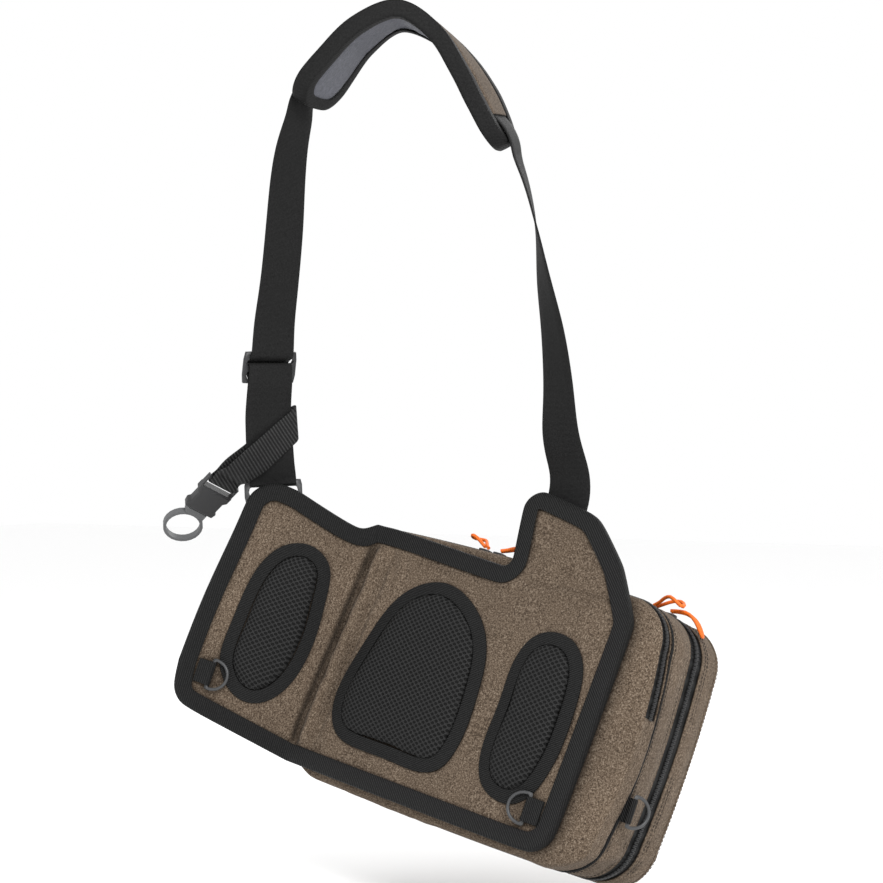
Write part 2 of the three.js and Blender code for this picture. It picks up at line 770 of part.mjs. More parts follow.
// A zip strip fills the gap left for it, sunk below the cloth and clear of its edges.
const trim = SEAM_GAP / POCKET_DEPTH;
const endGap = (points, j, other) => points[j].clone().lerp(points[other], 0.02);
function rearZipGeometry() {
  const rows = [
    { at: rearZipFrom + trim, inset: 0, bulge: 1.1 },
    { at: rearZipTo - trim, inset: -0.02, bulge: 1.4 },
  ];
  const shorten = (grid) =>
    grid.map((row) => {
      const first = zipEndColumn;
      const last = columns - zipEndColumn;
      const moved = [...row];
      moved[first] = endGap(row, first, first + 1);
      moved[last] = endGap(row, last, last - 1);
      return moved;
    });
  return wall(
    shorten(gridOf(rows, bodyBack, POCKET_DEPTH, ZIP_SINK)),
    shorten(gridOf(rows, bodyBack, POCKET_DEPTH, ZIP_SINK + ZIP_THICKNESS)),
    true,
    (i, j) => onRearZip(j),
  );
}
add(bagGroup, "rear_zip", rearZipGeometry(), BLACK_WEBBING);

const gussetStart = bodyBack + POCKET_DEPTH + SEAM_GAP;
const lidStart = gussetStart + GUSSET_DEPTH + MAIN_ZIP_WIDTH;
const hingeEnd = (lidStart - SEAM_GAP - gussetStart) / GUSSET_DEPTH;
const GUSSET_ROWS = [
  { at: 0, inset: 0.04, bulge: 1.1 },
  { at: 0.2, inset: 0, bulge: 1 },
  { at: 0.6, inset: -0.02, bulge: 0.8 },
  { at: 1, inset: 0, bulge: 0.6 },
  { at: hingeEnd, inset: 0, bulge: 0.5 },
];
const hingeRow = GUSSET_ROWS.length - 1;
add(
  bagGroup,
  "main_body",
  tray(GUSSET_ROWS, gussetStart, GUSSET_DEPTH, (i, j) => i !== hingeRow || onHinge(j)),
  BROWN_CLOTH,
);
const mainZipRows = [
  { at: SEAM_GAP / MAIN_ZIP_WIDTH, inset: 0, bulge: 0.6 },
  { at: 0.5, inset: 0.02, bulge: 0.55 },
  { at: 1 - SEAM_GAP / MAIN_ZIP_WIDTH, inset: 0, bulge: 0.5 },
];
const hingeSide = (grid) =>
  grid.map((row) => {
    const moved = [...row];
    moved[1] = endGap(row, 1, 2);
    moved[columns - 1] = endGap(row, columns - 1, columns - 2);
    return moved;
  });
add(
  bagGroup,
  "main_zip",
  wall(
    hingeSide(gridOf(mainZipRows, gussetStart + GUSSET_DEPTH, MAIN_ZIP_WIDTH, ZIP_SINK)),
    hingeSide(
      gridOf(mainZipRows, gussetStart + GUSSET_DEPTH, MAIN_ZIP_WIDTH, ZIP_SINK + ZIP_THICKNESS),
    ),
    true,
    (i, j) => !onHinge(j),
  ),
  BLACK_WEBBING,
);

// The lid: a short side that turns over a stitched rim into a domed front, drawn from the front back.
const LID_ROWS = [
  { at: 1, inset: 1.9, bulge: 0 },
  { at: 0.93, inset: 0.9, bulge: 0 },
  { at: 0.75, inset: 0.4, bulge: 0.1 },
  { at: 0.45, inset: 0.13, bulge: 0.2 },
  { at: 0, inset: 0, bulge: 0.4 },
];
const rimStart = lidStart + LID_DEPTH;
const lidOuter = [
  ...gridOf(LID_ROWS, rimStart, LID_DOME, 0),
  ring(lidStart + LID_DEPTH / 2, -0.01 * BODY_CORNER, 0.5),
  ring(lidStart, 0, 0.5),
];
const lidInner = [
  ...LID_ROWS.map((row) =>
    ring(rimStart + row.at * LID_DOME - CLOTH, row.inset * BODY_CORNER + CLOTH, row.bulge),
  ),
  ring(lidStart + LID_DEPTH / 2, -0.01 * BODY_CORNER + CLOTH, 0.5),
  ring(lidStart, CLOTH, 0.5),
];
add(
  bagGroup,
  "front_lid",
  wall([middleOf(lidOuter[0]), ...lidOuter], [middleOf(lidInner[0]), ...lidInner], true),
  BROWN_CLOTH,
);

// Height of the top of a ring above x, and how far out its right side is at z.
const levelAt = (points, key, value, other) => {
  const i = points.findIndex(
    (p, k) => k + 1 < points.length && (p[key] - value) * (points[k + 1][key] - value) <= 0,
  );
  const [a, b] = [points[i], points[i + 1]];
  return a[other] + ((b[other] - a[other]) * (value - a[key])) / (b[key] - a[key]);
};
const upperHalf = (points) => points.slice(zipEndColumn, columns - zipEndColumn);
const rightSide = (points) => points.slice(1, columns / 2);
const topAt = (points, x) => levelAt(upperHalf(points), "x", x, "z");

// Zip sliders stand on their strips, with the pull cords' loops on them.
const rearSliderY = bodyBack + (rearZipFrom + rearZipTo) * 0.5 * POCKET_DEPTH;
const mainSliderY = gussetStart + GUSSET_DEPTH + MAIN_ZIP_WIDTH / 2;
const SLIDERS = [
  { name: "rear_slider_left", y: rearSliderY, across: -0.235, turn: 158 },
  { name: "rear_slider_right", y: rearSliderY, across: -0.14, turn: 24 },
  { name: "main_slider_left", y: mainSliderY, across: 0.66, turn: -20 },
  { name: "main_slider_right", y: mainSliderY, across: 0.76, turn: 14 },
];
const CORD_LOOPS = {
  rear_slider_left: { name: "rear_pull_left", reach: 22, lift: 7, droop: 0 },
  rear_slider_right: { name: "rear_pull_right", reach: 24, lift: 7, droop: 0 },
  main_slider_left: { name: "main_pull_left", reach: 31, lift: 12, droop: 6 },
  main_slider_right: { name: "main_pull_right", reach: 32, lift: 8, droop: 20 },
};
// A pull cord leaves its slider, opens into a loop and comes back beside itself.
const CORD_ROUTE = [
  { out: 0, side: -0.15, up: 0 },
  { out: 0.2, side: -0.2, up: 0.3 },
  { out: 0.45, side: -0.38, up: 0.75 },
  { out: 0.7, side: -0.5, up: 1 },
  { out: 0.9, side: -0.36, up: 0.95 },
  { out: 1, side: 0, up: 0.85 },
  { out: 0.9, side: 0.36, up: 0.95 },
  { out: 0.7, side: 0.5, up: 1 },
  { out: 0.45, side: 0.38, up: 0.75 },
  { out: 0.2, side: 0.2, up: 0.3 },
  { out: 0, side: 0.15, up: 0 },
];
const CORD_LOOP_WIDTH = 13;
SLIDERS.forEach((slider) => {
  const x = (slider.across * BODY_WIDTH) / 2;
  const zip = ring(slider.y, ZIP_SINK, 1);
  const z = topAt(zip, x) + SEAM_GAP + ZIP_SLIDER.height / 2 + 0.4;
  const body = add(
    bagGroup,
    slider.name,
    box(ZIP_SLIDER.length, ZIP_SLIDER.width, ZIP_SLIDER.height),
    BLACK_PLASTIC,
  );
  body.position.set(x, slider.y, z);
  const loop = CORD_LOOPS[slider.name];
  const turn = rad(slider.turn);
  const along = v3(Math.cos(turn), Math.sin(turn), 0);
  const beside = v3(-Math.sin(turn), Math.cos(turn), 0);
  const start = v3(x, slider.y, z + ZIP_SLIDER.height / 2 + SEAM_GAP + CORD_DIAMETER / 2);
  const points = CORD_ROUTE.map((row) =>
    start
      .clone()
      .addScaledVector(along, row.out * loop.reach)
      .addScaledVector(beside, row.side * CORD_LOOP_WIDTH)
      .add(v3(0, 0, row.up * loop.lift - row.out ** 2 * loop.droop)),
  );
  add(bagGroup, loop.name, cordTube(points), ORANGE_CORD);
});
// D rings on webbing tabs. A ring is drawn about its hinge: x towards its bow, y along its bar.
const ringHalf = (RING_INNER_WIDTH + RING_WIRE) / 2;
const RING_STRAIGHT = 3;
const BOW_STEPS = 10;
const OCTAGON = Array.from({ length: 8 }, (_, k) => (Math.PI * (2 * k + 1)) / 8);
const wireSection = (wire) =>
  OCTAGON.map((angle) => ({
    out: (wire / 2) * Math.cos(angle),
    h: (wire / 2) * Math.sin(angle),
  }));
function dRingGeometry() {
  const outline = [v2(0, -ringHalf)];
  for (let k = 0; k <= BOW_STEPS; k++) {
    const angle = -Math.PI / 2 + (k / BOW_STEPS) * Math.PI;
    const bow = (RING_REACH - RING_STRAIGHT) * Math.cos(angle);
    outline.push(v2(RING_STRAIGHT + bow, ringHalf * Math.sin(angle)));
  }
  outline.push(v2(0, ringHalf));
  return bandRound(outline, wireSection(RING_WIRE), (p, h) => v3(p.x, p.y, h));
}
function place(mesh, at, x, y) {
  const z = x.clone().cross(y).normalize();
  mesh.quaternion.setFromRotationMatrix(new THREE.Matrix4().makeBasis(x, y, z));
  mesh.position.copy(at);
  return mesh;
}
function addDRing(name, at, bow, bar) {
  place(add(bagGroup, name, dRingGeometry(), GREY_PLASTIC), at, bow, bar);
}

// The tab's webbing goes round the ring's bar and back over itself, in its own s and h.
const eyelet = RING_WIRE / 2 + RING_CLEARANCE + TAB_THICKNESS / 2;
const tabLow = SEAM_GAP + TAB_THICKNESS / 2;
const tabHigh = tabLow + TAB_THICKNESS + RING_CLEARANCE;
const hingeRise = tabLow + eyelet;
const roundBar = (from, to, steps) =>
  Array.from({ length: steps + 1 }, (_, k) => {
    const angle = rad(from + ((to - from) * k) / steps);
    return v2(eyelet * Math.cos(angle), eyelet * Math.sin(angle));
  });
const tabPath = [
  v2(TAB_LENGTH, tabLow),
  v2(eyelet * 1.4, tabLow),
  ...roundBar(-90, -300, 7).map((p) => v2(p.x, p.y + hingeRise)),
  v2(eyelet * 2.3, tabHigh + 0.1),
  v2(TAB_LENGTH, tabHigh),
];
// Where a tab is sewn on the panel, as on a pad, and which way its ring points.
const PANEL_TAB = { across: 0.891, up: 0.153, towards: -1 };
const WING_TAB = { across: 0.692, up: 0.235, towards: 1 };
function addPanelTab(name, ringName, hinge, towards) {
  const map = (p, v) => onPanel(v2(hinge.x - towards * p.x, hinge.y + v), -p.y);
  add(bagGroup, name, webbing(tabPath, TAB_THICKNESS, TAB_WIDTH, map), BLACK_WEBBING);
  const at = onPanel(hinge, -hingeRise);
  const along = onPanel(v2(hinge.x + towards, hinge.y), -hingeRise).sub(at).normalize();
  const front = onPanel(hinge, -hingeRise - 1).sub(at).normalize();
  const bow = along.multiplyScalar(Math.cos(rad(RING_TILT)));
  bow.addScaledVector(front, Math.sin(rad(RING_TILT)));
  const bar = onPanel(v2(hinge.x, hinge.y + 1), -hingeRise).sub(at);
  bar.addScaledVector(bow, -bar.dot(bow)).normalize();
  addDRing(ringName, at, bow, bar);
}
addPanelTab("panel_ring_tab", "panel_ring", centrePlace(PANEL_TAB), PANEL_TAB.towards);
addPanelTab("wing_ring_tab", "wing_ring", wingPlace(WING_TAB), WING_TAB.towards);

// The side tab stands out of the seam between the pocket and the main body.
const SIDE_TAB_UP = 0.28;
const sideTabZ = bodyBottom + SIDE_TAB_UP * BODY_HEIGHT;
const seamRing = ring(gussetStart, 0, GUSSET_ROWS[0].bulge);
const sideX = levelAt(rightSide(seamRing), "z", sideTabZ, "x") + SEAM_GAP;
const sideLay = TAB_THICKNESS / 2 + RING_CLEARANCE / 2;
const sidePath = [
  v2(0, -sideLay),
  v2(SIDE_TAB_LENGTH - eyelet * 1.25, -sideLay),
  ...roundBar(-135, 135, 8).map((p) => v2(p.x + SIDE_TAB_LENGTH, p.y)),
  v2(SIDE_TAB_LENGTH - eyelet * 1.25, sideLay),
  v2(0, sideLay),
];
const seamY = gussetStart - SEAM_GAP / 2;
add(
  bagGroup,
  "side_ring_tab",
  webbing(sidePath, TAB_THICKNESS, TAB_WIDTH, (p, v) => v3(sideX + p.x, seamY + p.y, sideTabZ + v)),
  BLACK_WEBBING,
);
const sideSwing = rad(SIDE_RING_TILT);
addDRing(
  "side_ring",
  v3(sideX + SIDE_TAB_LENGTH, seamY, sideTabZ),
  v3(Math.cos(sideSwing), Math.sin(sideSwing), 0),
  v3(0, 0, 1),
);

// The strap ring lies behind the wing's top corner and leans with the strap. In its own frame
// s goes up the strap from its upper bar, v across towards the crease and h away from the panel.
const RING_PLACE = { across: 0.727, up: 1.045 };
const RING_LEAN = 21.6;
const ringBarGap = LOOP_RING_HEIGHT - LOOP_RING_WIRE;
const ringDepth = tapeBack + 2 * SEAM_GAP + TAB_THICKNESS + RING_CLEARANCE + LOOP_RING_WIRE / 2 + 0.8;
const ringFlat = wingPlace(RING_PLACE);
const ringLean = rad(RING_LEAN);
const onRing = (s, v, h) =>
  onPanel(
    v2(
      ringFlat.x - s * Math.sin(ringLean) + v * Math.cos(ringLean),
      ringFlat.y + s * Math.cos(ringLean) + v * Math.sin(ringLean),
    ),
    ringDepth + h,
  );
const ringAcross = onRing(0, 1, 0).sub(onRing(0, 0, 0)).normalize();
const ringUp = onRing(1, 0, 0).sub(onRing(0, 0, 0)).normalize();

// A flat frame of bars, drawn with x across and y up, with one opening for each row in openings.
function barFrame(width, height, thickness, openings) {
  const rectangle = (shape, w, low, high) => {
    shape.moveTo(-w / 2, low);
    shape.lineTo(w / 2, low);
    shape.lineTo(w / 2, high);
    shape.lineTo(-w / 2, high);
    shape.closePath();
    return shape;
  };
  const shape = rectangle(new THREE.Shape(), width, -height / 2, height / 2);
  openings.forEach((o) => shape.holes.push(rectangle(new THREE.Path(), o.width, o.low, o.high)));
  const made = new THREE.ExtrudeGeometry(shape, { depth: thickness, bevelEnabled: false });
  return made.translate(0, 0, -thickness / 2);
}
const ringOpening = LOOP_RING_HEIGHT / 2 - LOOP_RING_WIRE;
place(
  add(
    bagGroup,
    "strap_ring",
    barFrame(STRAP_WIDTH + 2 + 2 * LOOP_RING_WIRE, LOOP_RING_HEIGHT, LOOP_RING_WIRE, [
      { width: STRAP_WIDTH + 2, low: -ringOpening, high: ringOpening },
    ]),
    GREY_PLASTIC,
  ),
  onRing(-ringBarGap / 2, 0, 0),
  ringAcross,
  ringUp,
);

// The ring's anchor: webbing sewn to the wing's back, up round the lower bar and down again.
const ANCHOR_LENGTH = 36;
const ANCHOR_WIDTH = 0.8 * STRAP_WIDTH;
const barHold = LOOP_RING_WIRE * WIRE_CORNER + RING_CLEARANCE + TAB_THICKNESS / 2;
const wingBack = PANEL_THICKNESS + SEAM_GAP + TAB_THICKNESS / 2 - ringDepth;
const anchorAt = (share, h) => v2(-ringBarGap - share * ANCHOR_LENGTH, h);
const anchorPath = [
  anchorAt(1, wingBack),
  anchorAt(0.82, wingBack),
  anchorAt(0.6, -barHold),
  anchorAt(0, -barHold),
  v2(-ringBarGap + 0.7 * barHold, -0.7 * barHold),
  v2(-ringBarGap + barHold, 0),
  v2(-ringBarGap + 0.7 * barHold, 0.7 * barHold),
  anchorAt(0, barHold),
  anchorAt(0.25, 0.6 * barHold),
  anchorAt(0.6, TAB_THICKNESS + 0.6 - barHold),
  anchorAt(0.84, wingBack + TAB_THICKNESS + 0.6),
  anchorAt(1, wingBack + TAB_THICKNESS + RING_CLEARANCE),
];
add(
  bagGroup,
  "ring_anchor",
  webbing(anchorPath, TAB_THICKNESS, ANCHOR_WIDTH, (p, v) => onRing(p.x, v, p.y)),
  BLACK_WEBBING,
);

// The bag hangs where the strap's ring is. Everything on the strap is drawn in the strap's own
// group: x across the loop, y deep, z up from the hanging point.
const ringHang = v3(-RING_REACH_LEFT, RING_SETBACK, -RING_DROP);
const turned = ringHang.clone().applyAxisAngle(v3(0, 0, 1), rad(LOOP_TURN));
bagGroup.position.copy(turned.sub(onRing(0, 0, 0).applyEuler(bagGroup.rotation)));
const strapDirection = (d) =>
  d.clone().applyEuler(bagGroup.rotation).applyAxisAngle(v3(0, 0, 1), -rad(LOOP_TURN));
const strapPoint = (p) =>
  p
    .clone()
    .applyEuler(bagGroup.rotation)
    .add(bagGroup.position)
    .applyAxisAngle(v3(0, 0, 1), -rad(LOOP_TURN));

// The strap's middle line. Left leg: shares of the ring's place. Arch: shares of the pad's span
// and fall from its top. Right leg: share of the way down to the ear, then shares of the width.
const LEFT_LEG = [
  { x: -1.015, y: 0.852, z: 0.9325, twist: 18 },
  { x: -1.026, y: 0.74, z: 0.805, twist: 28 },
  { x: -0.98, y: 0.629, z: 0.68, twist: 36 },
  { x: -0.916, y: 0.517, z: 0.558, twist: 43 },
  { x: -0.868, y: 0.406, z: 0.436, twist: 44 },
];
const ARCH = [
  { x: -0.503, y: 0.163, fall: 0.978, twist: 50 },
  { x: -0.475, y: 0.126, fall: 0.757, twist: 58 },
  { x: -0.404, y: 0.084, fall: 0.513, twist: 72 },
  { x: -0.298, y: 0.045, fall: 0.314, twist: 77 },
  { x: -0.174, y: 0.011, fall: 0.131, twist: 82 },
  { x: 0.017, y: 0, fall: 0, twist: 90 },
  { x: 0.213, y: 0, fall: 0.131, twist: 98 },
  { x: 0.334, y: 0, fall: 0.329, twist: 105 },
  { x: 0.419, y: -0.003, fall: 0.528, twist: 108 },
  { x: 0.492, y: -0.005, fall: 0.742, twist: 106 },
  { x: 0.579, y: -0.007, fall: 1, twist: 101 },
];
const RIGHT_LEG = [
  { down: 0.171, out: 0.1, deep: -0.035, twist: 94 },
  { down: 0.342, out: 0.08, deep: -0.065, twist: 78 },
  { down: 0.509, out: 0.1, deep: -0.1, twist: 66 },
  { down: 0.68, out: 0.04, deep: -0.13, twist: 57 },
  { down: 0.848, out: -0.08, deep: -0.17, twist: 46 },
];
const EAR_STRAP = { back: 0.735, rise: 1.13 };
const EAR_SEWN = 0.86;
const barReach = LOOP_RING_WIRE * WIRE_CORNER + RING_CLEARANCE + STRAP_THICKNESS / 2;
const padTop = PAD_FOAM + LAYER_GAP + STRAP_THICKNESS / 2;
const ringDirection = strapDirection(ringUp);
const ringSide = strapDirection(ringAcross);
const ringBack = ringDirection.clone().cross(ringSide);
const strapFoot = strapPoint(onRing(0, 0, 0)).addScaledVector(ringBack, barReach);
const earFlat = earPlace(EAR_STRAP);
const earDepth = tapeBack + 2 * SEAM_GAP + STRAP_THICKNESS / 2;
const earTop = strapPoint(v3(earFlat.x, earDepth, earFlat.y));
const earDown = strapDirection(v3(0, 0, -1));
const earSide = strapDirection(v3(-1, 0, 0));
const archPoint = (row) => v3(row.x * PAD_SPAN, row.y * PAD_SPAN, padTop - row.fall * PAD_FALL);
const archEnd = archPoint(ARCH[ARCH.length - 1]);
const STRAP_LEAD = 14;
const strapRows = [
  { at: strapFoot.clone().addScaledVector(ringDirection, -STRAP_LEAD), twist: 12 },
  { at: strapFoot, twist: 12 },
  ...LEFT_LEG.map((row) => ({
    at: v3(row.x * RING_REACH_LEFT, row.y * RING_SETBACK, -row.z * RING_DROP),
    twist: row.twist,
  })),
  ...ARCH.map((row) => ({ at: archPoint(row), twist: row.twist })),
  ...RIGHT_LEG.map((row) => ({
    at: archEnd
      .clone()
      .lerp(earTop, row.down)
      .add(v3(row.out * STRAP_WIDTH, row.deep * STRAP_WIDTH, 0)),
    twist: row.twist,
  })),
  { at: earTop, twist: 36 },
  { at: earTop.clone().addScaledVector(earDown, EAR_SEWN * EAR_HEIGHT), twist: 36 },
];
const strapCurve = new THREE.CatmullRomCurve3(
  strapRows.map((row) => row.at),
  false,
  "centripetal",
);
strapCurve.arcLengthDivisions = 600;
const strapLength = strapCurve.getLength();
const rowShares = [0];
strapRows.slice(1).forEach((row, i) => {
  rowShares.push(rowShares[i] + row.at.distanceTo(strapRows[i].at));
});
const chordLength = rowShares[rowShares.length - 1];
const strapAt = (index) => (rowShares[index] / chordLength) * strapLength - STRAP_LEAD;
function twistAt(share) {
  const i = Math.min(
    strapRows.length - 2,
    rowShares.findLastIndex((s) => s <= share * chordLength + 1e-9),
  );
  const within = (share * chordLength - rowShares[i]) / (rowShares[i + 1] - rowShares[i]);
  return rad(THREE.MathUtils.lerp(strapRows[i].twist, strapRows[i + 1].twist, within));
}
const smooth = (t) => THREE.MathUtils.smoothstep(t, 0, 1);
const END_TURN = 60;
const earStart = strapLength - EAR_SEWN * EAR_HEIGHT;

// The strap's frame s along it from its ring: its middle, its direction, width and outer side.
function strapFrame(s) {
  if (s <= 0) {
    const at = strapFoot.clone().addScaledVector(ringDirection, s);
    return { at, tangent: ringDirection.clone(), side: ringSide.clone(), outer: ringBack.clone() };
  }
  const share = THREE.MathUtils.clamp((s + STRAP_LEAD) / strapLength, 0, 1);
  const tangent = strapCurve.getTangentAt(share);
  const inward = v3(0, 1, 0).cross(tangent).normalize();
  const deep = tangent.clone().cross(inward);
  const twist = twistAt(share);
  const side = inward.multiplyScalar(Math.cos(twist)).addScaledVector(deep, Math.sin(twist));
  side.lerp(ringSide, 1 - smooth(s / END_TURN));
  side.lerp(earSide, smooth((s + STRAP_LEAD - earStart + END_TURN) / END_TURN));
  side.addScaledVector(tangent, -side.dot(tangent)).normalize();
  return { at: strapCurve.getPointAt(share), tangent, side, outer: tangent.clone().cross(side) };
}
const onStrap = (s, v, h) => {
  const frame = strapFrame(s);
  return frame.at.addScaledVector(frame.side, v).addScaledVector(frame.outer, h);
};

// The shoulder strap: from the slider's centre bar down to the ring, round it, up the back,
// through the slider, under the pad's cover and down the right side to the back of the ear.
const sliderBar = (SLIDER_HEIGHT - SLIDER_WIRE) / 2;
const sliderHold = SLIDER_WIRE * WIRE_CORNER + RING_CLEARANCE + STRAP_THICKNESS / 2;
const weave = SLIDER_WIRE / 2 + STRAP_THICKNESS / 2 + 1.1;
const behind = sliderHold + STRAP_THICKNESS + 0.8;
const archTop = strapAt(2 + LEFT_LEG.length + ARCH.findIndex((row) => row.fall === 0));
const padStart = archTop - PAD_LEFT_SHARE * PAD_LENGTH;
const padEnd = padStart + PAD_LENGTH;
const HEM = 24;
const PAD_STEP = 9.5;
const overTape = PAD_BINDING_WIDTH + 5;
const aboveTape = LAYER_GAP * 2 + PAD_COVER + STRAP_THICKNESS;
const fromSlider = (s, h) => v2(SLIDER_UP + s, h);
const evenly = (from, to, step) => {
  const count = Math.max(1, Math.round((to - from) / step));
  return Array.from({ length: count + 1 }, (_, k) => v2(from + ((to - from) * k) / count, 0));
};
const foldRound = (centre, radius, from, to, steps) =>
  Array.from({ length: steps + 1 }, (_, k) => {
    const angle = rad(from + ((to - from) * k) / steps);
    return v2(centre.x + radius * Math.sin(angle), centre.y - radius * Math.cos(angle));
  });
const frontLay = -STRAP_THICKNESS - 1.2;
const strapPath = [
  ...foldRound(v2(SLIDER_UP, 0), sliderHold, 225, 0, 7),
  fromSlider(-5, -sliderHold - 0.7),
  fromSlider(-sliderBar, -weave - STRAP_THICKNESS - 0.6),
  fromSlider(-sliderBar - 9, -weave - STRAP_THICKNESS - 0.2),
  fromSlider(-sliderBar - 26, frontLay),
  v2(0.54 * SLIDER_UP, frontLay),
  v2(0.45 * SLIDER_UP, frontLay),
  v2(0.36 * SLIDER_UP, frontLay),
  v2(0.27 * SLIDER_UP, frontLay - 0.2),
  v2(0.2 * SLIDER_UP, frontLay - 0.7),
  v2(0.12 * SLIDER_UP, frontLay - 1.6),
  v2(0.05 * SLIDER_UP, frontLay - 3.1),
  ...foldRound(v2(0, -barReach), barReach, 0, -180, 6),
  v2(0.05 * SLIDER_UP, 0.8),
  v2(0.13 * SLIDER_UP, 0.4),
  ...evenly(0.22 * SLIDER_UP, SLIDER_UP - sliderBar - 26, 9),
  fromSlider(-sliderBar - 5, -weave + 0.3),
  fromSlider(-sliderBar, -weave),
  fromSlider(-0.74 * sliderBar, -weave + 0.5),
  fromSlider(-0.5 * sliderBar, 0.2 * behind),
  fromSlider(-0.34 * sliderBar, 0.8 * behind),
  fromSlider(0, behind),
  fromSlider(0.34 * sliderBar, 0.8 * behind),
  fromSlider(0.5 * sliderBar, 0.2 * behind),
  fromSlider(0.74 * sliderBar, -weave + 0.5),
  fromSlider(sliderBar, -weave),
  fromSlider(sliderBar + 5, -weave + 0.3),
  ...evenly(SLIDER_UP + sliderBar + 26, padStart - 12, 22),
  v2(padStart - 2, aboveTape),
  v2(padStart + overTape, aboveTape),
  ...evenly(padStart + HEM, padEnd - HEM, PAD_STEP),
  v2(padEnd - overTape, aboveTape),
  v2(padEnd + 2, aboveTape),
  ...evenly(padEnd + 12, strapLength - STRAP_LEAD, 18),
];
add(
  strapGroup,
  "shoulder_strap",
  webbing(strapPath, STRAP_THICKNESS, STRAP_WIDTH, (p, v) => onStrap(p.x, v, p.y)),
  BLACK_WEBBING,
);
const sliderFrame = strapFrame(SLIDER_UP);
const sliderOpening = SLIDER_WIDTH - 2 * SLIDER_WIRE;
place(
  add(
    strapGroup,
    "strap_slider",
    barFrame(SLIDER_WIDTH, SLIDER_HEIGHT, SLIDER_WIRE, [
      { width: sliderOpening, low: -SLIDER_HEIGHT / 2 + SLIDER_WIRE, high: -SLIDER_WIRE / 2 },
      { width: sliderOpening, low: SLIDER_WIRE / 2, high: SLIDER_HEIGHT / 2 - SLIDER_WIRE },
    ]),
    BLACK_PLASTIC,
  ),
  sliderFrame.at,
  sliderFrame.side,
  sliderFrame.tangent,
);

// The shoulder pad: foam under the strap, a cover over it, and a binding round both.
const padLength = padEnd - padStart;
const padFlat = outlineOf(
  [
    { x: 0, y: -PAD_WIDTH / 2, round: 0.36 * PAD_WIDTH },
    { x: padLength, y: -PAD_WIDTH / 2, round: 0.36 * PAD_WIDTH },
    { x: padLength, y: PAD_WIDTH / 2, round: 0.36 * PAD_WIDTH },
    { x: 0, y: PAD_WIDTH / 2, round: 0.36 * PAD_WIDTH },
  ],
  5,
);
const padOutline = padFlat.flatMap((p, i) => {
  const q = padFlat[(i + 1) % padFlat.length];
  const steps = Math.max(1, Math.round(p.distanceTo(q) / PAD_STEP));
  if (Math.abs(p.y - q.y) > 1e-6) return [p];
  return Array.from({ length: steps }, (_, k) => p.clone().lerp(q, k / steps));
});
const onPad = (p, h) => onStrap(padStart + p.x, p.y, h);
const foamTop = -STRAP_THICKNESS / 2 - LAYER_GAP;
const foamBottom = foamTop - PAD_FOAM;
const coverDrop = STRAP_THICKNESS + LAYER_GAP;
const tapeIn = PAD_EDGE * 0.75;
const tapeTop = foamTop + 2 * LAYER_GAP + PAD_COVER;
add(
  strapGroup,
  "shoulder_pad_binding",
  bandRound(
    padOutline,
    [
      { out: -PAD_BINDING_WIDTH, h: tapeTop + tapeIn },
      { out: LAYER_GAP + tapeIn, h: tapeTop + tapeIn },
      { out: LAYER_GAP + tapeIn, h: foamBottom - LAYER_GAP - tapeIn },
      { out: -PAD_BINDING_WIDTH, h: foamBottom - LAYER_GAP - tapeIn },
      { out: -PAD_BINDING_WIDTH, h: foamBottom - LAYER_GAP },
      { out: LAYER_GAP, h: foamBottom - LAYER_GAP },
      { out: LAYER_GAP, h: tapeTop },
      { out: -PAD_BINDING_WIDTH, h: tapeTop },
    ],
    onPad,
  ),
  BLACK_WEBBING,
);

// How wide the pad is at a distance from its start, with its rounded ends.
const padStations = [0, 0.03, 0.1, 0.22, 0.45, 0.7];
const stationsAlong = [
  ...padStations.map((share) => share * HEM),
  ...evenly(HEM, padLength - HEM, PAD_STEP).map((p) => p.x),
  ...padStations.toReversed().map((share) => padLength - share * HEM),
];
function halfWidthAt(x) {
  const low = padOutline.filter((p) => p.y < 0).sort((a, b) => a.x - b.x);
  const i = Math.max(0, low.findLastIndex((p) => p.x <= x + 1e-6));
  const [a, b] = [low[i], low[Math.min(low.length - 1, i + 1)]];
  if (b.x - a.x < 1e-6) return -a.y;
  return -THREE.MathUtils.lerp(a.y, b.y, (x - a.x) / (b.x - a.x));
}
const FOAM_ACROSS = [-1, -0.62, 0, 0.62, 1];
add(
  strapGroup,
  "shoulder_pad",
  loft(
    stationsAlong.map((x) => {
      const half = halfWidthAt(x);
      const top = FOAM_ACROSS.map((a) => onPad(v2(x, a * half), foamTop));
      const bottom = FOAM_ACROSS.toReversed().map((a) => onPad(v2(x, a * half), foamBottom));
      return [...top, ...bottom];
    }),
  ),
  GREY_LINING,
);
const coverHalf = PAD_WIDTH / 2 - SEAM_GAP;
const coverLift = STRAP_THICKNESS / 2 + LAYER_GAP + PAD_COVER / 2;
const COVER_ROWS = [
  { v: coverHalf, h: coverLift - coverDrop },
  { v: PAD_WIDTH / 2 - PAD_BINDING_WIDTH - 0.5, h: coverLift - coverDrop },
  { v: STRAP_WIDTH / 2 + 1.6, h: coverLift },
  { v: 0.33 * STRAP_WIDTH, h: coverLift + 0.3 },
];
const coverAcross = [
  ...COVER_ROWS.map((row) => v2(-row.v, row.h)),
  ...COVER_ROWS.toReversed().map((row) => v2(row.v, row.h)),
];
add(
  strapGroup,
  "shoulder_pad_cover",
  loft(
    evenly(HEM, padLength - HEM, PAD_STEP).map(({ x }) => [
      ...coverAcross.map((p) => onPad(v2(x, p.x), p.y + PAD_COVER / 2)),
      ...coverAcross.toReversed().map((p) => onPad(v2(x, p.x), p.y - PAD_COVER / 2)),
    ]),
  ),
  BROWN_CLOTH,
);

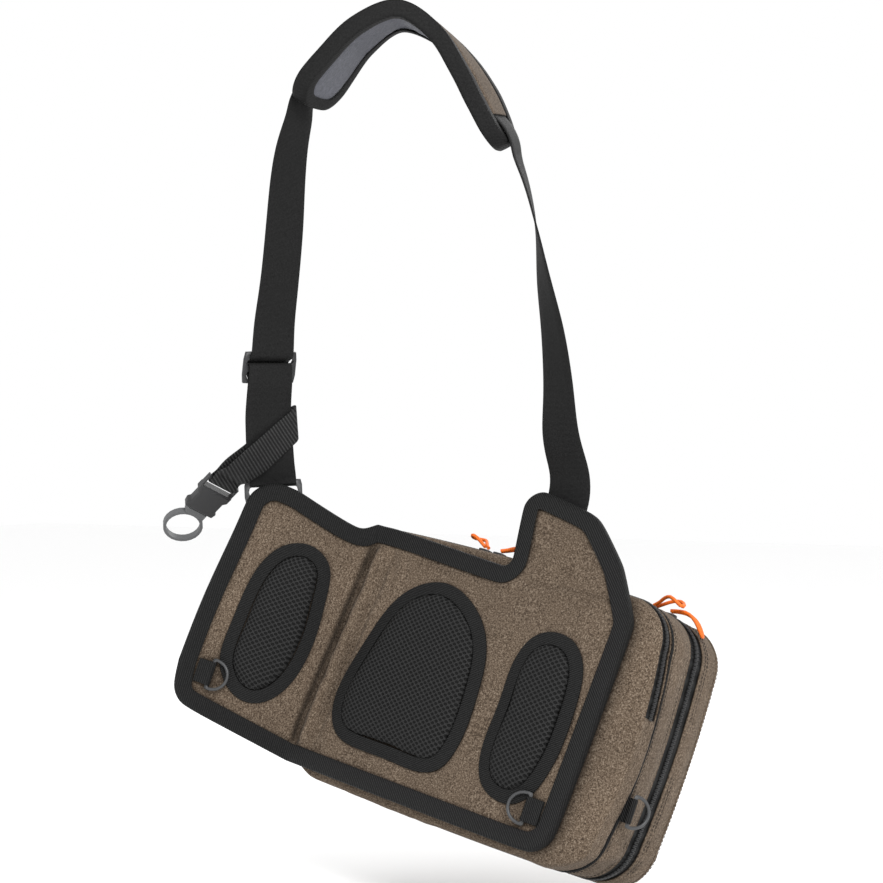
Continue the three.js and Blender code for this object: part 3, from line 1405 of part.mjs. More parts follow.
// The buckle hangs on a webbing loop round the doubled strap. t goes along the webbing from its
// fold at the strap's edge, v across it, h as on the strap. It bends down at its knee.
const BUCKLE_UP = 54;
const BUCKLE_SLANT = 34;
const BUCKLE_BEND = 13;
const WEBBING_FOLD_OUT = 1.5;
const WEBBING_LENGTH = 81;
const WEBBING_SLACK = 4.4;
const slant = rad(BUCKLE_SLANT);
const layMiddle = frontLay / 2;
const foldOut = STRAP_WIDTH / 2 + WEBBING_FOLD_OUT;
const knee = 0.78 * WEBBING_LENGTH;
const buckleBend = rad(BUCKLE_BEND);
const flatWebbing = (along, across) =>
  v2(
    BUCKLE_UP - along * Math.sin(slant) + across * Math.cos(slant),
    foldOut - along * Math.cos(slant) - across * Math.sin(slant),
  );
const strapSpan = (STRAP_WIDTH + WEBBING_FOLD_OUT) / Math.cos(slant);
// The fold itself follows the strap's edge, and squares up with the webbing on its way across.
const foldSkew = (along) =>
  Math.tan(slant) * (1 - smooth(Math.min(1, Math.max(0, along / strapSpan))));
const kneeFlat = flatWebbing(knee, 0);
const kneeFrame = strapFrame(kneeFlat.x);
function onWebbing(t, v, h) {
  if (t < knee) {
    const flat = flatWebbing(t - v * foldSkew(t), v);
    return onStrap(flat.x, flat.y, layMiddle + h);
  }
  const bend = t > knee + 1e-6 ? buckleBend : buckleBend / 2;
  const stretch = t > knee + 1e-6 ? 1 : 1 / Math.cos(bend);
  const beyond = t - knee;
  const along = knee + beyond * Math.cos(buckleBend) + v * stretch * Math.sin(bend);
  const across = v * stretch * Math.cos(bend) - beyond * Math.sin(buckleBend);
  const flat = flatWebbing(along, across);
  return kneeFrame.at
    .clone()
    .addScaledVector(kneeFrame.tangent, flat.x - kneeFlat.x)
    .addScaledVector(kneeFrame.side, flat.y)
    .addScaledVector(kneeFrame.outer, layMiddle + h);
}
const BUCKLE_BAR = 4;
const webHalf = BUCKLE_WEBBING_THICKNESS / 2;
const webRound = -layMiddle + STRAP_THICKNESS / 2 + 1.4 + webHalf;
const barRound = BUCKLE_BAR / 2 + RING_CLEARANCE + webHalf;
const meet = 0.9 * WEBBING_LENGTH;
const webbingSide = (side, slack) => [
  ...[0, 0.16, 0.33, 0.5, 0.67, 0.84, 1].map((share) =>
    v2(share * strapSpan, side * (webRound + slack * smooth(share))),
  ),
  v2(knee, side * (webRound + slack)),
  v2(meet, side * (webHalf + 0.3)),
  v2(WEBBING_LENGTH - BUCKLE_BAR / 2 - 1, side * barRound),
  v2(WEBBING_LENGTH + BUCKLE_BAR / 2 + 0.6, side * barRound),
];
const webbingOutline = [
  ...foldRound(v2(0, 0), webRound, 0, -180, 6).slice(1, -1),
  ...webbingSide(1, 0),
  v2(WEBBING_LENGTH + barRound + 0.6, 0.5 * barRound),
  v2(WEBBING_LENGTH + barRound + 0.6, -0.5 * barRound),
  ...webbingSide(-1, WEBBING_SLACK).toReversed(),
];
add(
  strapGroup,
  "buckle_webbing",
  webbingLoop(webbingOutline, BUCKLE_WEBBING_THICKNESS, BUCKLE_WEBBING, (p, v) =>
    onWebbing(p.x, v, p.y),
  ),
  BLACK_WEBBING,
);

// The buckle's body: a block with waisted sides, arms and a bar for the webbing, and a socket.
const barCentre = onWebbing(WEBBING_LENGTH, 0, 0);
const buckleAlong = onWebbing(WEBBING_LENGTH + 1, 0, 0).sub(barCentre).normalize();
const buckleAcross = onWebbing(WEBBING_LENGTH, 1, 0).sub(barCentre);
buckleAcross.addScaledVector(buckleAlong, -buckleAcross.dot(buckleAlong)).normalize();
const BUCKLE_SHAPE = [
  { across: 1, along: 0.24 },
  { across: 1, along: 0.42 },
  { across: 0.84, along: 0.5 },
  { across: 0.84, along: 0.78 },
  { across: 0.97, along: 0.86 },
  { across: 0.9, along: 1 },
];
const buckleHalf = BUCKLE_WIDTH / 2;
const bucklePoints = [
  ...BUCKLE_SHAPE.map((row) => v2(row.across * buckleHalf, row.along * BUCKLE_LENGTH)),
  ...BUCKLE_SHAPE.toReversed().map((row) => v2(-row.across * buckleHalf, row.along * BUCKLE_LENGTH)),
];
const BUCKLE_BEVEL = 1.2;
const buckleBlock = new THREE.ExtrudeGeometry(new THREE.Shape(bucklePoints), {
  depth: BUCKLE_THICKNESS - 2 * BUCKLE_BEVEL,
  bevelSize: BUCKLE_BEVEL,
  bevelThickness: BUCKLE_BEVEL,
  bevelOffset: -BUCKLE_BEVEL,
  bevelSegments: 1,
}).translate(0, 0, BUCKLE_BEVEL - BUCKLE_THICKNESS / 2);
const armWidth = (BUCKLE_WIDTH - BUCKLE_WEBBING - 3) / 2;
const armLength = 0.3 * BUCKLE_LENGTH + BUCKLE_BAR / 2;
const armMiddle = 0.3 * BUCKLE_LENGTH - armLength / 2;
const socketWidth = 0.62 * BUCKLE_WIDTH;
const socketHeight = 0.5 * BUCKLE_THICKNESS;
const socketDepth = 0.6 * BUCKLE_LENGTH;
const buckleEnd = BUCKLE_LENGTH + RING_CLEARANCE;
const arm = (side) =>
  box(armWidth, armLength, 0.6 * BUCKLE_THICKNESS, (side * (BUCKLE_WIDTH - armWidth)) / 2, armMiddle);
place(
  add(
    strapGroup,
    "buckle_body",
    cutAway(joined([buckleBlock, arm(1), arm(-1), box(BUCKLE_WIDTH, BUCKLE_BAR, BUCKLE_BAR)]), [
      box(socketWidth, socketDepth, socketHeight, 0, BUCKLE_LENGTH - socketDepth / 2 + 0.5),
    ]),
    BLACK_PLASTIC,
  ),
  barCentre,
  buckleAcross.clone().negate(),
  buckleAlong,
);

// The plug: a tongue in the socket, a neck and an open ring.
const tongue = box(
  socketWidth - 2 * RING_CLEARANCE,
  socketDepth,
  socketHeight - 2 * RING_CLEARANCE,
  0,
  buckleEnd - socketDepth / 2 + 0.8,
);
const neck = box(0.6 * BUCKLE_WIDTH, 6, 0.8 * BUCKLE_THICKNESS, 0, buckleEnd + 3);
const plugOuter = PLUG_RING_OUTER / 2;
const plugInner = plugOuter - PLUG_RING_WALL;
const ringProfile = [
  v2(plugInner, -PLUG_RING_THICKNESS / 2),
  v2(plugOuter, -PLUG_RING_THICKNESS / 2),
  v2(plugOuter, PLUG_RING_THICKNESS / 2),
  v2(plugInner, PLUG_RING_THICKNESS / 2),
  v2(plugInner, -PLUG_RING_THICKNESS / 2),
];
const plugRing = new THREE.LatheGeometry(ringProfile, 24);
plugRing.rotateX(Math.PI / 2).translate(0, buckleEnd + 4.5 + plugOuter, 0);
place(
  add(strapGroup, "buckle_plug", joined([tongue, neck, plugRing]), GREY_PLASTIC),
  barCentre,
  buckleAcross.clone().negate(),
  buckleAlong,
);

export default root;
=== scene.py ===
"""Fishing tackle sling bag: the looks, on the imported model's frame. Metres, +Z up."""

import math

import bmesh
import bpy
from mathutils import Matrix, Vector, noise


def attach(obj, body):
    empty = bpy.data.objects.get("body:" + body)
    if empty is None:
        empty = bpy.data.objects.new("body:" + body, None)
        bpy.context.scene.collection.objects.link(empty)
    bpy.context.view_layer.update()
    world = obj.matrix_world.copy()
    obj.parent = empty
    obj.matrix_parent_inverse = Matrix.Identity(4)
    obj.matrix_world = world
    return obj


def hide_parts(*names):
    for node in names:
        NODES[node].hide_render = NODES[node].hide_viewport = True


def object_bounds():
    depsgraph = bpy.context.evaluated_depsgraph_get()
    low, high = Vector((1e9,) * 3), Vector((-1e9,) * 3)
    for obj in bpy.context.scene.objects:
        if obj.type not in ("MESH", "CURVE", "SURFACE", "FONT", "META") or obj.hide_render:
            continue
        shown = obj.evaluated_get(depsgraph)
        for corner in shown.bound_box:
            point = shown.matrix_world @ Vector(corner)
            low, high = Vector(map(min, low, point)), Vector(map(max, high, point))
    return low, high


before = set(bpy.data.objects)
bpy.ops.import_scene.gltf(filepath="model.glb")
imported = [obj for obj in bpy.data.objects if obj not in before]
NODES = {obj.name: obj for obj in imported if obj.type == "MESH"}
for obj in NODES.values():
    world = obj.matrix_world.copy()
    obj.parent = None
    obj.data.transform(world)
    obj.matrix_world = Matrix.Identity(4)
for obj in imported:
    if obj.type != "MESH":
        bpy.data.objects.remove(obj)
CAD_BOX = [list(c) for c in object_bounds()]
MM = 0.001

# Camera at the photograph's angle
camera = bpy.data.objects.new("camera", bpy.data.cameras.new("camera"))
bpy.context.scene.collection.objects.link(camera)
camera.location = (0.9774, -1.4520, -0.3418)
camera.rotation_euler = (math.radians(90), 0, math.radians(32.73))
camera.data.lens = 87.58
camera.data.sensor_width = 36
bpy.context.scene.camera = camera

# The bag's own frame, in millimetres: x along the panel, y from the panel to the lid, z up it
BAG_ROLL, BAG_PITCH = math.radians(-17.76), math.radians(11.94)
BAG_TURN = Matrix.Rotation(BAG_ROLL, 4, "X") @ Matrix.Rotation(BAG_PITCH, 4, "Y")
BAG = Matrix.Translation((0.022522, -0.00456, -0.64081)) @ BAG_TURN
FROM_BAG = BAG.inverted()
BAG_ANGLES = tuple(BAG_TURN.to_3x3().inverted().to_euler())
BAG_MM = BAG @ Matrix.Scale(MM, 4)
DEPTH = Vector((0, 1, 0))


def bag(x, y, z):
    """A place in the bag's own millimetres, in metres in the shared frame."""
    return BAG @ Vector((x * MM, y * MM, z * MM))


# Materials
def nodes_of(name):
    """A new material, with its node tree and its main shader."""
    mat = bpy.data.materials.new(name)
    mat.use_nodes = True
    return mat, mat.node_tree, mat.node_tree.nodes["Principled BSDF"]


def node(tree, kind, **values):
    """A new node, with its sockets or its settings given by name."""
    made = tree.nodes.new(kind)
    for key, value in values.items():
        if key in made.inputs:
            made.inputs[key].default_value = value
        else:
            setattr(made, key, value)
    return made


def place_in(tree, turn=(0, 0, 0), scale=(1, 1, 1)):
    """Object coordinates turned into the bag's own directions, or another piece's, then scaled."""
    where = node(tree, "ShaderNodeTexCoord")
    turned = node(tree, "ShaderNodeMapping", Rotation=turn)
    scaled = node(tree, "ShaderNodeMapping", Scale=scale)
    tree.links.new(where.outputs["Object"], turned.inputs["Vector"])
    tree.links.new(turned.outputs["Vector"], scaled.inputs["Vector"])
    return scaled.outputs["Vector"]


def grey(v):
    return (v, v, v)


def ramp(tree, source, stops):
    """A colour for each value of the source, from stops of a value and a colour."""
    made = node(tree, "ShaderNodeValToRGB")
    while len(made.color_ramp.elements) < len(stops):
        made.color_ramp.elements.new(0.5)
    for element, (at, colour) in zip(made.color_ramp.elements, stops):
        element.position = at
        element.color = (*colour, 1)
    tree.links.new(source, made.inputs["Fac"])
    return made.outputs["Color"]


def mixed(tree, blend, factor, a, b):
    made = node(tree, "ShaderNodeMix", data_type="RGBA", blend_type=blend)
    made.inputs["Factor"].default_value = factor
    tree.links.new(a, made.inputs["A"])
    tree.links.new(b, made.inputs["B"])
    return made.outputs["Result"]


def bumped(tree, shader, height, strength, distance, previous=None):
    """A bump on the shader's normal, over the one before it."""
    made = node(tree, "ShaderNodeBump", Strength=strength, Distance=distance)
    tree.links.new(height, made.inputs["Height"])
    if previous is not None:
        tree.links.new(previous, made.inputs["Normal"])
    tree.links.new(made.outputs["Normal"], shader.inputs["Normal"])
    return made.outputs["Normal"]


def noise_at(tree, vector, scale, detail=3.0, rough=0.55):
    made = node(tree, "ShaderNodeTexNoise", Scale=scale, Detail=detail, Roughness=rough)
    tree.links.new(vector, made.inputs["Vector"])
    return made.outputs["Fac"]


def wave_at(tree, vector, direction, pitch):
    """Soft bands along a direction, one every pitch metres."""
    made = node(
        tree,
        "ShaderNodeTexWave",
        wave_type="BANDS",
        bands_direction=direction,
        wave_profile="SIN",
        Scale=math.pi / 10 / pitch,
        Distortion=0.0,
    )
    tree.links.new(vector, made.inputs["Vector"])
    return made.outputs["Fac"]


def canvas(name, dark=1.0):
    """Heathered canvas: crossed yarns of taupe, brown and near black, with painted shade in its
    hollows.
    """
    mat, tree, shader = nodes_of(name)
    across = noise_at(tree, place_in(tree, BAG_ANGLES, (560, 1000, 1300)), 1.0, 2.0, 0.6)
    along = noise_at(tree, place_in(tree, BAG_ANGLES, (1300, 1000, 560)), 1.0, 2.0, 0.6)
    yarns = mixed(tree, "MIX", 0.5, across, along)
    tones = [
        (0.36, (0.032, 0.022, 0.015)),
        (0.46, (0.078, 0.055, 0.037)),
        (0.54, (0.138, 0.102, 0.072)),
        (0.66, (0.25, 0.2, 0.152)),
    ]
    colour = ramp(tree, yarns, [(at, tuple(c * dark for c in tone)) for at, tone in tones])
    cloudy = noise_at(tree, place_in(tree, BAG_ANGLES), 9.0, 3.0, 0.6)
    shade = ramp(tree, cloudy, [(0.3, grey(0.76)), (0.7, grey(1.0))])
    # Painted shade: ambient occlusion darkens the cloth's colour in its hollows and creases and beside
    # other parts.
    hollow = node(tree, "ShaderNodeAmbientOcclusion", Distance=0.014, samples=8)
    painted_hollow_shade = ramp(tree, hollow.outputs["AO"], [(0.35, grey(0.3)), (0.95, grey(1.0))])
    cloth = mixed(tree, "MULTIPLY", 1.0, colour, shade)
    tree.links.new(mixed(tree, "MULTIPLY", 1.0, cloth, painted_hollow_shade), shader.inputs["Base Color"])
    shader.inputs["Roughness"].default_value = 0.93
    shader.inputs["Specular IOR Level"].default_value = 0.15
    shader.inputs["Sheen Weight"].default_value = 0.04
    shader.inputs["Sheen Roughness"].default_value = 0.5
    weft = wave_at(tree, place_in(tree, BAG_ANGLES), "X", 0.0012)
    warp = wave_at(tree, place_in(tree, BAG_ANGLES), "Z", 0.0012)
    first = bumped(tree, shader, mixed(tree, "MULTIPLY", 1.0, weft, warp), 0.35, 0.0003)
    second = bumped(tree, shader, yarns, 0.4, 0.0004, first)
    creases = noise_at(tree, place_in(tree, BAG_ANGLES), 38.0, 4.0, 0.6)
    bumped(tree, shader, creases, 0.35, 0.003, second)
    return mat


def webbing(name, direction, pitch, tone, strength, angles=(0, 0, 0), painted_rib_light=0.7, gloss=0.2):
    """Black woven webbing with ribs along one direction, painted shade in their grooves and painted
    highlight on their crests, and fine yarns across them.
    """
    mat, tree, shader = nodes_of(name)
    where = place_in(tree, angles)
    ribs = wave_at(tree, where, direction, pitch)
    yarn = noise_at(tree, place_in(tree, angles, (900, 900, 900)), 1.0, 2.0)
    # Painted shade and highlight: the rib grooves are coloured darker than the tone and the crests
    # lighter.
    painted_groove_shade, painted_crest_highlight = tone * (1 - painted_rib_light), tone * (1 + 2.3 * painted_rib_light)
    colour = ramp(tree, ribs, [(0.0, grey(painted_groove_shade)), (0.55, grey(tone)), (1.0, grey(painted_crest_highlight))])
    flecks = ramp(tree, yarn, [(0.3, grey(0.6)), (0.7, grey(1.25))])
    tree.links.new(mixed(tree, "MULTIPLY", 1.0, colour, flecks), shader.inputs["Base Color"])
    shader.inputs["Roughness"].default_value = 0.7
    shader.inputs["Specular IOR Level"].default_value = gloss
    first = bumped(tree, shader, ribs, strength, 0.0007)
    second = bumped(tree, shader, yarn, 0.3, 0.0003, first)
    bumped(tree, shader, noise_at(tree, where, 45.0, 3.0), 0.25, 0.002, second)
    return mat


def spacer_mesh(name, squeeze=1.0):
    """Spacer mesh: columns of round holes with painted shade in them, each half a pitch off the next,
    in a black knit.
    """
    mat, tree, shader = nodes_of(name)
    where = place_in(tree, BAG_ANGLES, (squeeze * 256, 0.0, 321))
    turned = node(tree, "ShaderNodeMapping", Rotation=(0, math.radians(45), 0))
    tree.links.new(where, turned.inputs["Vector"])
    cells = node(tree, "ShaderNodeTexVoronoi", feature="F1", Scale=1.0, Randomness=0.0)
    tree.links.new(turned.outputs["Vector"], cells.inputs["Vector"])
    holes = ramp(tree, cells.outputs["Distance"], [(0.26, grey(0.0)), (0.42, grey(1.0))])
    knit = noise_at(tree, place_in(tree, BAG_ANGLES, (1400, 1400, 1400)), 1.0, 2.0)
    thread = ramp(tree, knit, [(0.3, grey(0.008)), (0.7, grey(0.026))])
    # Painted shade: the holes are coloured near black, as the shade inside them.
    deep = ramp(tree, cells.outputs["Distance"], [(0.26, grey(0.04)), (0.42, grey(1.0))])
    tree.links.new(mixed(tree, "MULTIPLY", 1.0, thread, deep), shader.inputs["Base Color"])
    shader.inputs["Roughness"].default_value = 0.75
    shader.inputs["Specular IOR Level"].default_value = 0.2
    first = bumped(tree, shader, holes, 1.0, 0.0012)
    bumped(tree, shader, knit, 0.3, 0.0004, first)
    return mat


def lining(name):
    """Grey brushed lining with a soft nap."""
    mat, tree, shader = nodes_of(name)
    nap = noise_at(tree, place_in(tree, scale=(500, 500, 160)), 1.0, 4.0, 0.7)
    colour = ramp(tree, nap, [(0.3, (0.03, 0.032, 0.042)), (0.7, (0.085, 0.088, 0.11))])
    tree.links.new(colour, shader.inputs["Base Color"])
    shader.inputs["Roughness"].default_value = 0.95
    shader.inputs["Specular IOR Level"].default_value = 0.15
    shader.inputs["Sheen Weight"].default_value = 0.2
    bumped(tree, shader, nap, 0.5, 0.0005)
    return mat


def moulded(name, tone, rough, grain=1800.0, strength=0.2):
    """Moulded plastic or coated wire with a fine grain and slightly uneven gloss."""
    mat, tree, shader = nodes_of(name)
    where = place_in(tree)
    fine = noise_at(tree, where, grain, 2.0)
    smudge = noise_at(tree, where, 90.0, 3.0)
    colour = ramp(tree, smudge, [(0.3, tuple(c * 0.85 for c in tone)), (0.7, tone)])
    tree.links.new(colour, shader.inputs["Base Color"])
    gloss = ramp(tree, smudge, [(0.3, grey(rough)), (0.7, grey(min(1, rough * 1.25)))])
    tree.links.new(gloss, shader.inputs["Roughness"])
    bumped(tree, shader, fine, strength, 0.0002)
    return mat


def braided(name):
    """Orange braid: two sets of strands crossing on a slant."""
    mat, tree, shader = nodes_of(name)
    slanted = node(tree, "ShaderNodeMapping", Rotation=(0.5, 0.8, 0.3))
    tree.links.new(place_in(tree), slanted.inputs["Vector"])
    one = wave_at(tree, slanted.outputs["Vector"], "X", 0.0009)
    two = wave_at(tree, slanted.outputs["Vector"], "Z", 0.0009)
    weave = mixed(tree, "MULTIPLY", 1.0, one, two)
    colour = ramp(tree, weave, [(0.0, (0.62, 0.1, 0.002)), (0.7, (1.0, 0.2, 0.004))])
    tree.links.new(colour, shader.inputs["Base Color"])
    shader.inputs["Roughness"].default_value = 0.6
    bumped(tree, shader, weave, 0.5, 0.0003)
    return mat


CANVAS = canvas("brown_canvas")
STRAP_WEB = webbing("strap_webbing", "Z", 0.001, 0.011, 0.25, painted_rib_light=0.25, gloss=0.1)
BUCKLE_WEB = webbing("buckle_webbing", "DIAGONAL", 0.0024, 0.013, 0.8)
BINDING = webbing("binding_tape", "DIAGONAL", 0.0013, 0.0075, 0.9, BAG_ANGLES)
PAD_TAPE = webbing("pad_tape", "Z", 0.0014, 0.008, 0.9, BAG_ANGLES)
ZIP_TAPE = webbing("zip_tape", "X", 0.0011, 0.005, 0.5, BAG_ANGLES)
COVER = canvas("pad_cover_canvas", 0.9)
PAD_MESH = spacer_mesh("spacer_mesh")
WING_MESH = spacer_mesh("wing_spacer_mesh", 1.25)
LINING = lining("brushed_lining")
BLACK_PLASTIC = moulded("black_plastic", (0.012, 0.012, 0.013), 0.42)
GREY_PLASTIC = moulded("grey_plastic", (0.04, 0.041, 0.043), 0.4)
PLUG_GREY = moulded("plug_grey", (0.085, 0.087, 0.09), 0.42)
ZIP_TEETH = moulded("zip_coil", (0.022, 0.022, 0.023), 0.5, 900.0)
ORANGE = braided("orange_cord")
THREAD = moulded("thread", (0.022, 0.017, 0.013), 0.8, 2500.0, 0.5)


# Making pieces
def finish_mesh(piece, mesh, material, stands_for=(), body="bag", smooth=0):
    """A piece of the scene on its body, in place of the nodes it stands for."""
    obj = bpy.data.objects.new(piece, mesh)
    bpy.context.scene.collection.objects.link(obj)
    mesh.materials.clear()
    mesh.materials.append(material)
    for poly in mesh.polygons:
        poly.use_smooth = True
    if smooth:
        mesh.set_sharp_from_angle(angle=math.radians(smooth))
    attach(obj, body)
    if stands_for:
        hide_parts(*stands_for)
    return obj


def mesh_of(bm, name):
    mesh = bpy.data.meshes.new(name)
    bm.to_mesh(mesh)
    bm.free()
    return mesh


def join_loops(bm, first, second):
    """A strip of faces between two loops of as many points."""
    count = len(first)
    for k in range(count):
        m = (k + 1) % count
        bm.faces.new((first[k], first[m], second[m], second[k]))


def welded(name):
    """A CAD node's mesh with its corners welded and its triangles joined back into quads."""
    bm = bmesh.new()
    bm.from_mesh(NODES[name].data)
    bmesh.ops.remove_doubles(bm, verts=bm.verts, dist=1e-5)
    bmesh.ops.join_triangles(
        bm,
        faces=bm.faces,
        cmp_seam=False,
        cmp_sharp=False,
        cmp_uvs=False,
        cmp_vcols=False,
        cmp_materials=False,
        angle_face_threshold=math.radians(30),
        angle_shape_threshold=math.radians(60),
    )
    return bm


def rounded(name, piece, material, levels=2, sharp=50, body="bag", crease=0.75):
    """A smooth copy of a CAD node: subdivided, with its sharp edges only eased."""
    bm = welded(name)
    layer = bm.edges.layers.float.get("crease_edge") or bm.edges.layers.float.new("crease_edge")
    for edge in bm.edges:
        if len(edge.link_faces) == 2 and edge.calc_face_angle(0) > math.radians(sharp):
            edge[layer] = crease
    obj = finish_mesh(piece, mesh_of(bm, piece), material, [name], body)
    modifier = obj.modifiers.new("smooth", "SUBSURF")
    modifier.levels = modifier.render_levels = levels


def remeshed(name, piece, voxel, material, smooth, shape=None):
    """A node's form as an even fine mesh with softened edges, then shaped by a function."""
    source = bpy.data.objects.new("source", mesh_of(welded(name), "source"))
    bpy.context.scene.collection.objects.link(source)
    remesh = source.modifiers.new("remesh", "REMESH")
    remesh.mode = "VOXEL"
    remesh.voxel_size = voxel
    soften = source.modifiers.new("soften", "SMOOTH")
    soften.iterations = smooth
    soften.factor = 0.5
    graph = bpy.context.evaluated_depsgraph_get()
    mesh = bpy.data.meshes.new_from_object(source.evaluated_get(graph))
    bpy.data.objects.remove(source)
    if shape is not None:
        moved = [shape(v.co.copy(), v.normal.copy()) for v in mesh.vertices]
        for vertex, co in zip(mesh.vertices, moved):
            vertex.co = co
    return finish_mesh(piece, mesh, material, [name])


CLOTH_PRESSURE = 4.0
CLOTH_FRAMES = 15


def inflated(obj, cap):
    """Cloth under a little pressure, with no gravity, and no point moved beyond the cap."""
    cloth = obj.modifiers.new("cloth", "CLOTH")
    cloth.settings.use_pressure = True
    cloth.settings.uniform_pressure_force = CLOTH_PRESSURE
    cloth.settings.effector_weights.gravity = 0
    cloth.settings.quality = 4
    cloth.collision_settings.use_collision = False
    scene = bpy.context.scene
    for step in range(1, CLOTH_FRAMES + 1):
        scene.frame_set(step)
    graph = bpy.context.evaluated_depsgraph_get()
    after = [v.co.copy() for v in obj.evaluated_get(graph).data.vertices]
    before = [v.co.copy() for v in obj.data.vertices]
    obj.modifiers.remove(cloth)
    for vertex, old, new in zip(obj.data.vertices, before, after):
        move = new - old
        if move.length > cap:
            move *= cap / move.length
        vertex.co = old + move
    scene.frame_set(1)
    return obj


# The body's rings, as in the solids but finer, in millimetres
BODY_WIDTH, BODY_HEIGHT, BODY_CORNER, BOTTOM = 310, 222, 36, -4
SIDE_BULGE, TOP_CROWN = 6, 3
POCKET_DEPTH, REAR_ZIP_WIDTH = 28, 15
GUSSET_DEPTH, MAIN_ZIP_WIDTH, LID_SIDE, LID_DOME = 32, 25, 26, 24
POCKET_Y, GUSSET_Y = 7.5, 35.8
ZIP_Y = GUSSET_Y + GUSSET_DEPTH
LID_Y = ZIP_Y + MAIN_ZIP_WIDTH
RIM_Y = LID_Y + LID_SIDE
BODY_FLAT = BODY_WIDTH / 2 - BODY_CORNER
BODY_MIDDLE = BOTTOM + BODY_HEIGHT / 2
FLAT_STEPS, CORNER_STEPS, LEAST_CORNER = 40, 14, 5


def ring(y, inset, bulge):
    """Points round the body at depth y, from the middle of the bottom, in the bag's frame."""
    half = BODY_WIDTH / 2 - inset
    low, high = BOTTOM + inset, BOTTOM + BODY_HEIGHT - inset
    corner = max(LEAST_CORNER, BODY_CORNER - inset)
    flat, upright = half - corner, high - low - 2 * corner
    points = []

    def turn(x, z, start):
        for k in range(1, CORNER_STEPS):
            a = start + k / CORNER_STEPS * math.pi / 2
            points.append((x + corner * math.cos(a), y, z + corner * math.sin(a)))

    def bottom(s):
        points.append((flat * s, y, low - TOP_CROWN * (1 - s * s) / 2))

    def side(s, way):
        out = half + bulge * SIDE_BULGE * 4 * s * (1 - s)
        points.append((way * out, y, low + corner + s * upright))

    for k in range(FLAT_STEPS + 1):
        bottom(k / FLAT_STEPS)
    turn(flat, low + corner, -math.pi / 2)
    for k in range(FLAT_STEPS + 1):
        side(k / FLAT_STEPS, 1)
    turn(flat, high - corner, 0)
    for k in range(2 * FLAT_STEPS + 1):
        s = 1 - k / FLAT_STEPS
        points.append((flat * s, y, high + TOP_CROWN * (1 - s * s)))
    turn(-flat, high - corner, math.pi / 2)
    for k in range(FLAT_STEPS + 1):
        side(1 - k / FLAT_STEPS, -1)
    turn(-flat, low + corner, math.pi)
    for k in range(1, FLAT_STEPS):
        bottom(k / FLAT_STEPS - 1)
    return points


def closed(y, inset, bulge):
    points = ring(y, inset, bulge)
    return points + points[:1]


def between_rows(rows, steps):
    """More rows between a few, on a smooth curve through them."""
    made = []
    for i in range(len(rows) - 1):
        p0, p1 = rows[max(0, i - 1)], rows[i]
        p2, p3 = rows[i + 1], rows[min(len(rows) - 1, i + 2)]
        for k in range(steps):
            t = k / steps
            row = []
            for a, b, c, d in zip(p0, p1, p2, p3):
                square, cube = 2 * a - 5 * b + 4 * c - d, 3 * b - a - 3 * c + d
                row.append(0.5 * (2 * b + (c - a) * t + square * t * t + cube * t * t * t))
            made.append(tuple(row))
    made.append(tuple(rows[-1]))
    return made


def swell(p, across, deep, seed):
    """Smooth noise over the cloth, of waves so many millimetres across and deep."""
    return noise.noise(Vector((p[0] / across, p[1] / deep, p[2] / across)) + Vector(seed))


def fabric_wave(p, seam_distance):
    """How far cloth stands off its pattern, in mm: slow swells, and puckers close to a seam."""
    slow = swell(p, 60, 45, (3.1, 0.4, 7.7))
    fold = swell(p, 22, 30, (9.3, 2.4, 1.7))
    pucker = swell(p, 7, 14, (5.5, 8.4, 0.3))
    return 0.9 * slow + 0.5 * fold + 0.7 * pucker * math.exp(-seam_distance / 9)


def bell(value, width):
    return math.exp(-((value / width) ** 2))


def corner_puckers(p):
    """Gathered folds where the gusset turns the lower corners."""
    x, z = abs(p[0]), p[2]
    reach = bell(x - 128, 34) * bell(z - 18, 30)
    return 1.9 * reach * math.sin(0.16 * x - 0.34 * z + 0.05 * p[1])


CLOTH_WALL = 1.6
FACE_INSET = 30


def shell(piece, rows, stands_for, cap_first=False, cap_last=False, gap=None):
    """Cloth drawn as rings, with folds, given its thickness inwards. gap leaves out some faces."""
    bm = bmesh.new()
    grid = []
    middle = Vector((0, 0, BODY_MIDDLE))
    for y, inset, bulge in rows:
        seam = min(abs(y - rows[0][0]), abs(y - rows[-1][0]))
        line = []
        for p in ring(y, inset, bulge):
            out = Vector((p[0], 0, p[2])) - middle
            out.x *= 0.7
            out.normalize()
            rise = fabric_wave(p, seam) + corner_puckers(p) * min(1, seam / 5)
            rise *= min(1, 0.15 + seam / 6)
            if inset > FACE_INSET:
                out = DEPTH if y > GUSSET_Y else Vector()
            line.append(bm.verts.new(bag(*(Vector(p) + out * rise))))
        grid.append(line)
    count = len(grid[0])
    for i in range(len(grid) - 1):
        for j in range(count):
            if gap is not None and gap(i, j):
                continue
            k = (j + 1) % count
            bm.faces.new((grid[i][j], grid[i + 1][j], grid[i + 1][k], grid[i][k]))
    for use, line in ((cap_first, grid[0]), (cap_last, grid[-1])):
        if use:
            hub = bm.verts.new(sum((v.co for v in line), Vector()) / count)
            for j in range(count):
                bm.faces.new((line[j], line[(j + 1) % count], hub))
    bmesh.ops.recalc_face_normals(bm, faces=bm.faces)
    obj = finish_mesh(piece, mesh_of(bm, piece), CANVAS, stands_for)
    solid = obj.modifiers.new("cloth", "SOLIDIFY")
    solid.thickness = CLOTH_WALL * MM
    solid.offset = -1


# The rear pocket, open under its zip
def pocket_row(share, inset, bulge):
    """A row of the pocket: a share of its depth, an inset as a share of the corner, a bulge."""
    return (POCKET_Y + share * POCKET_DEPTH, inset * BODY_CORNER, bulge)


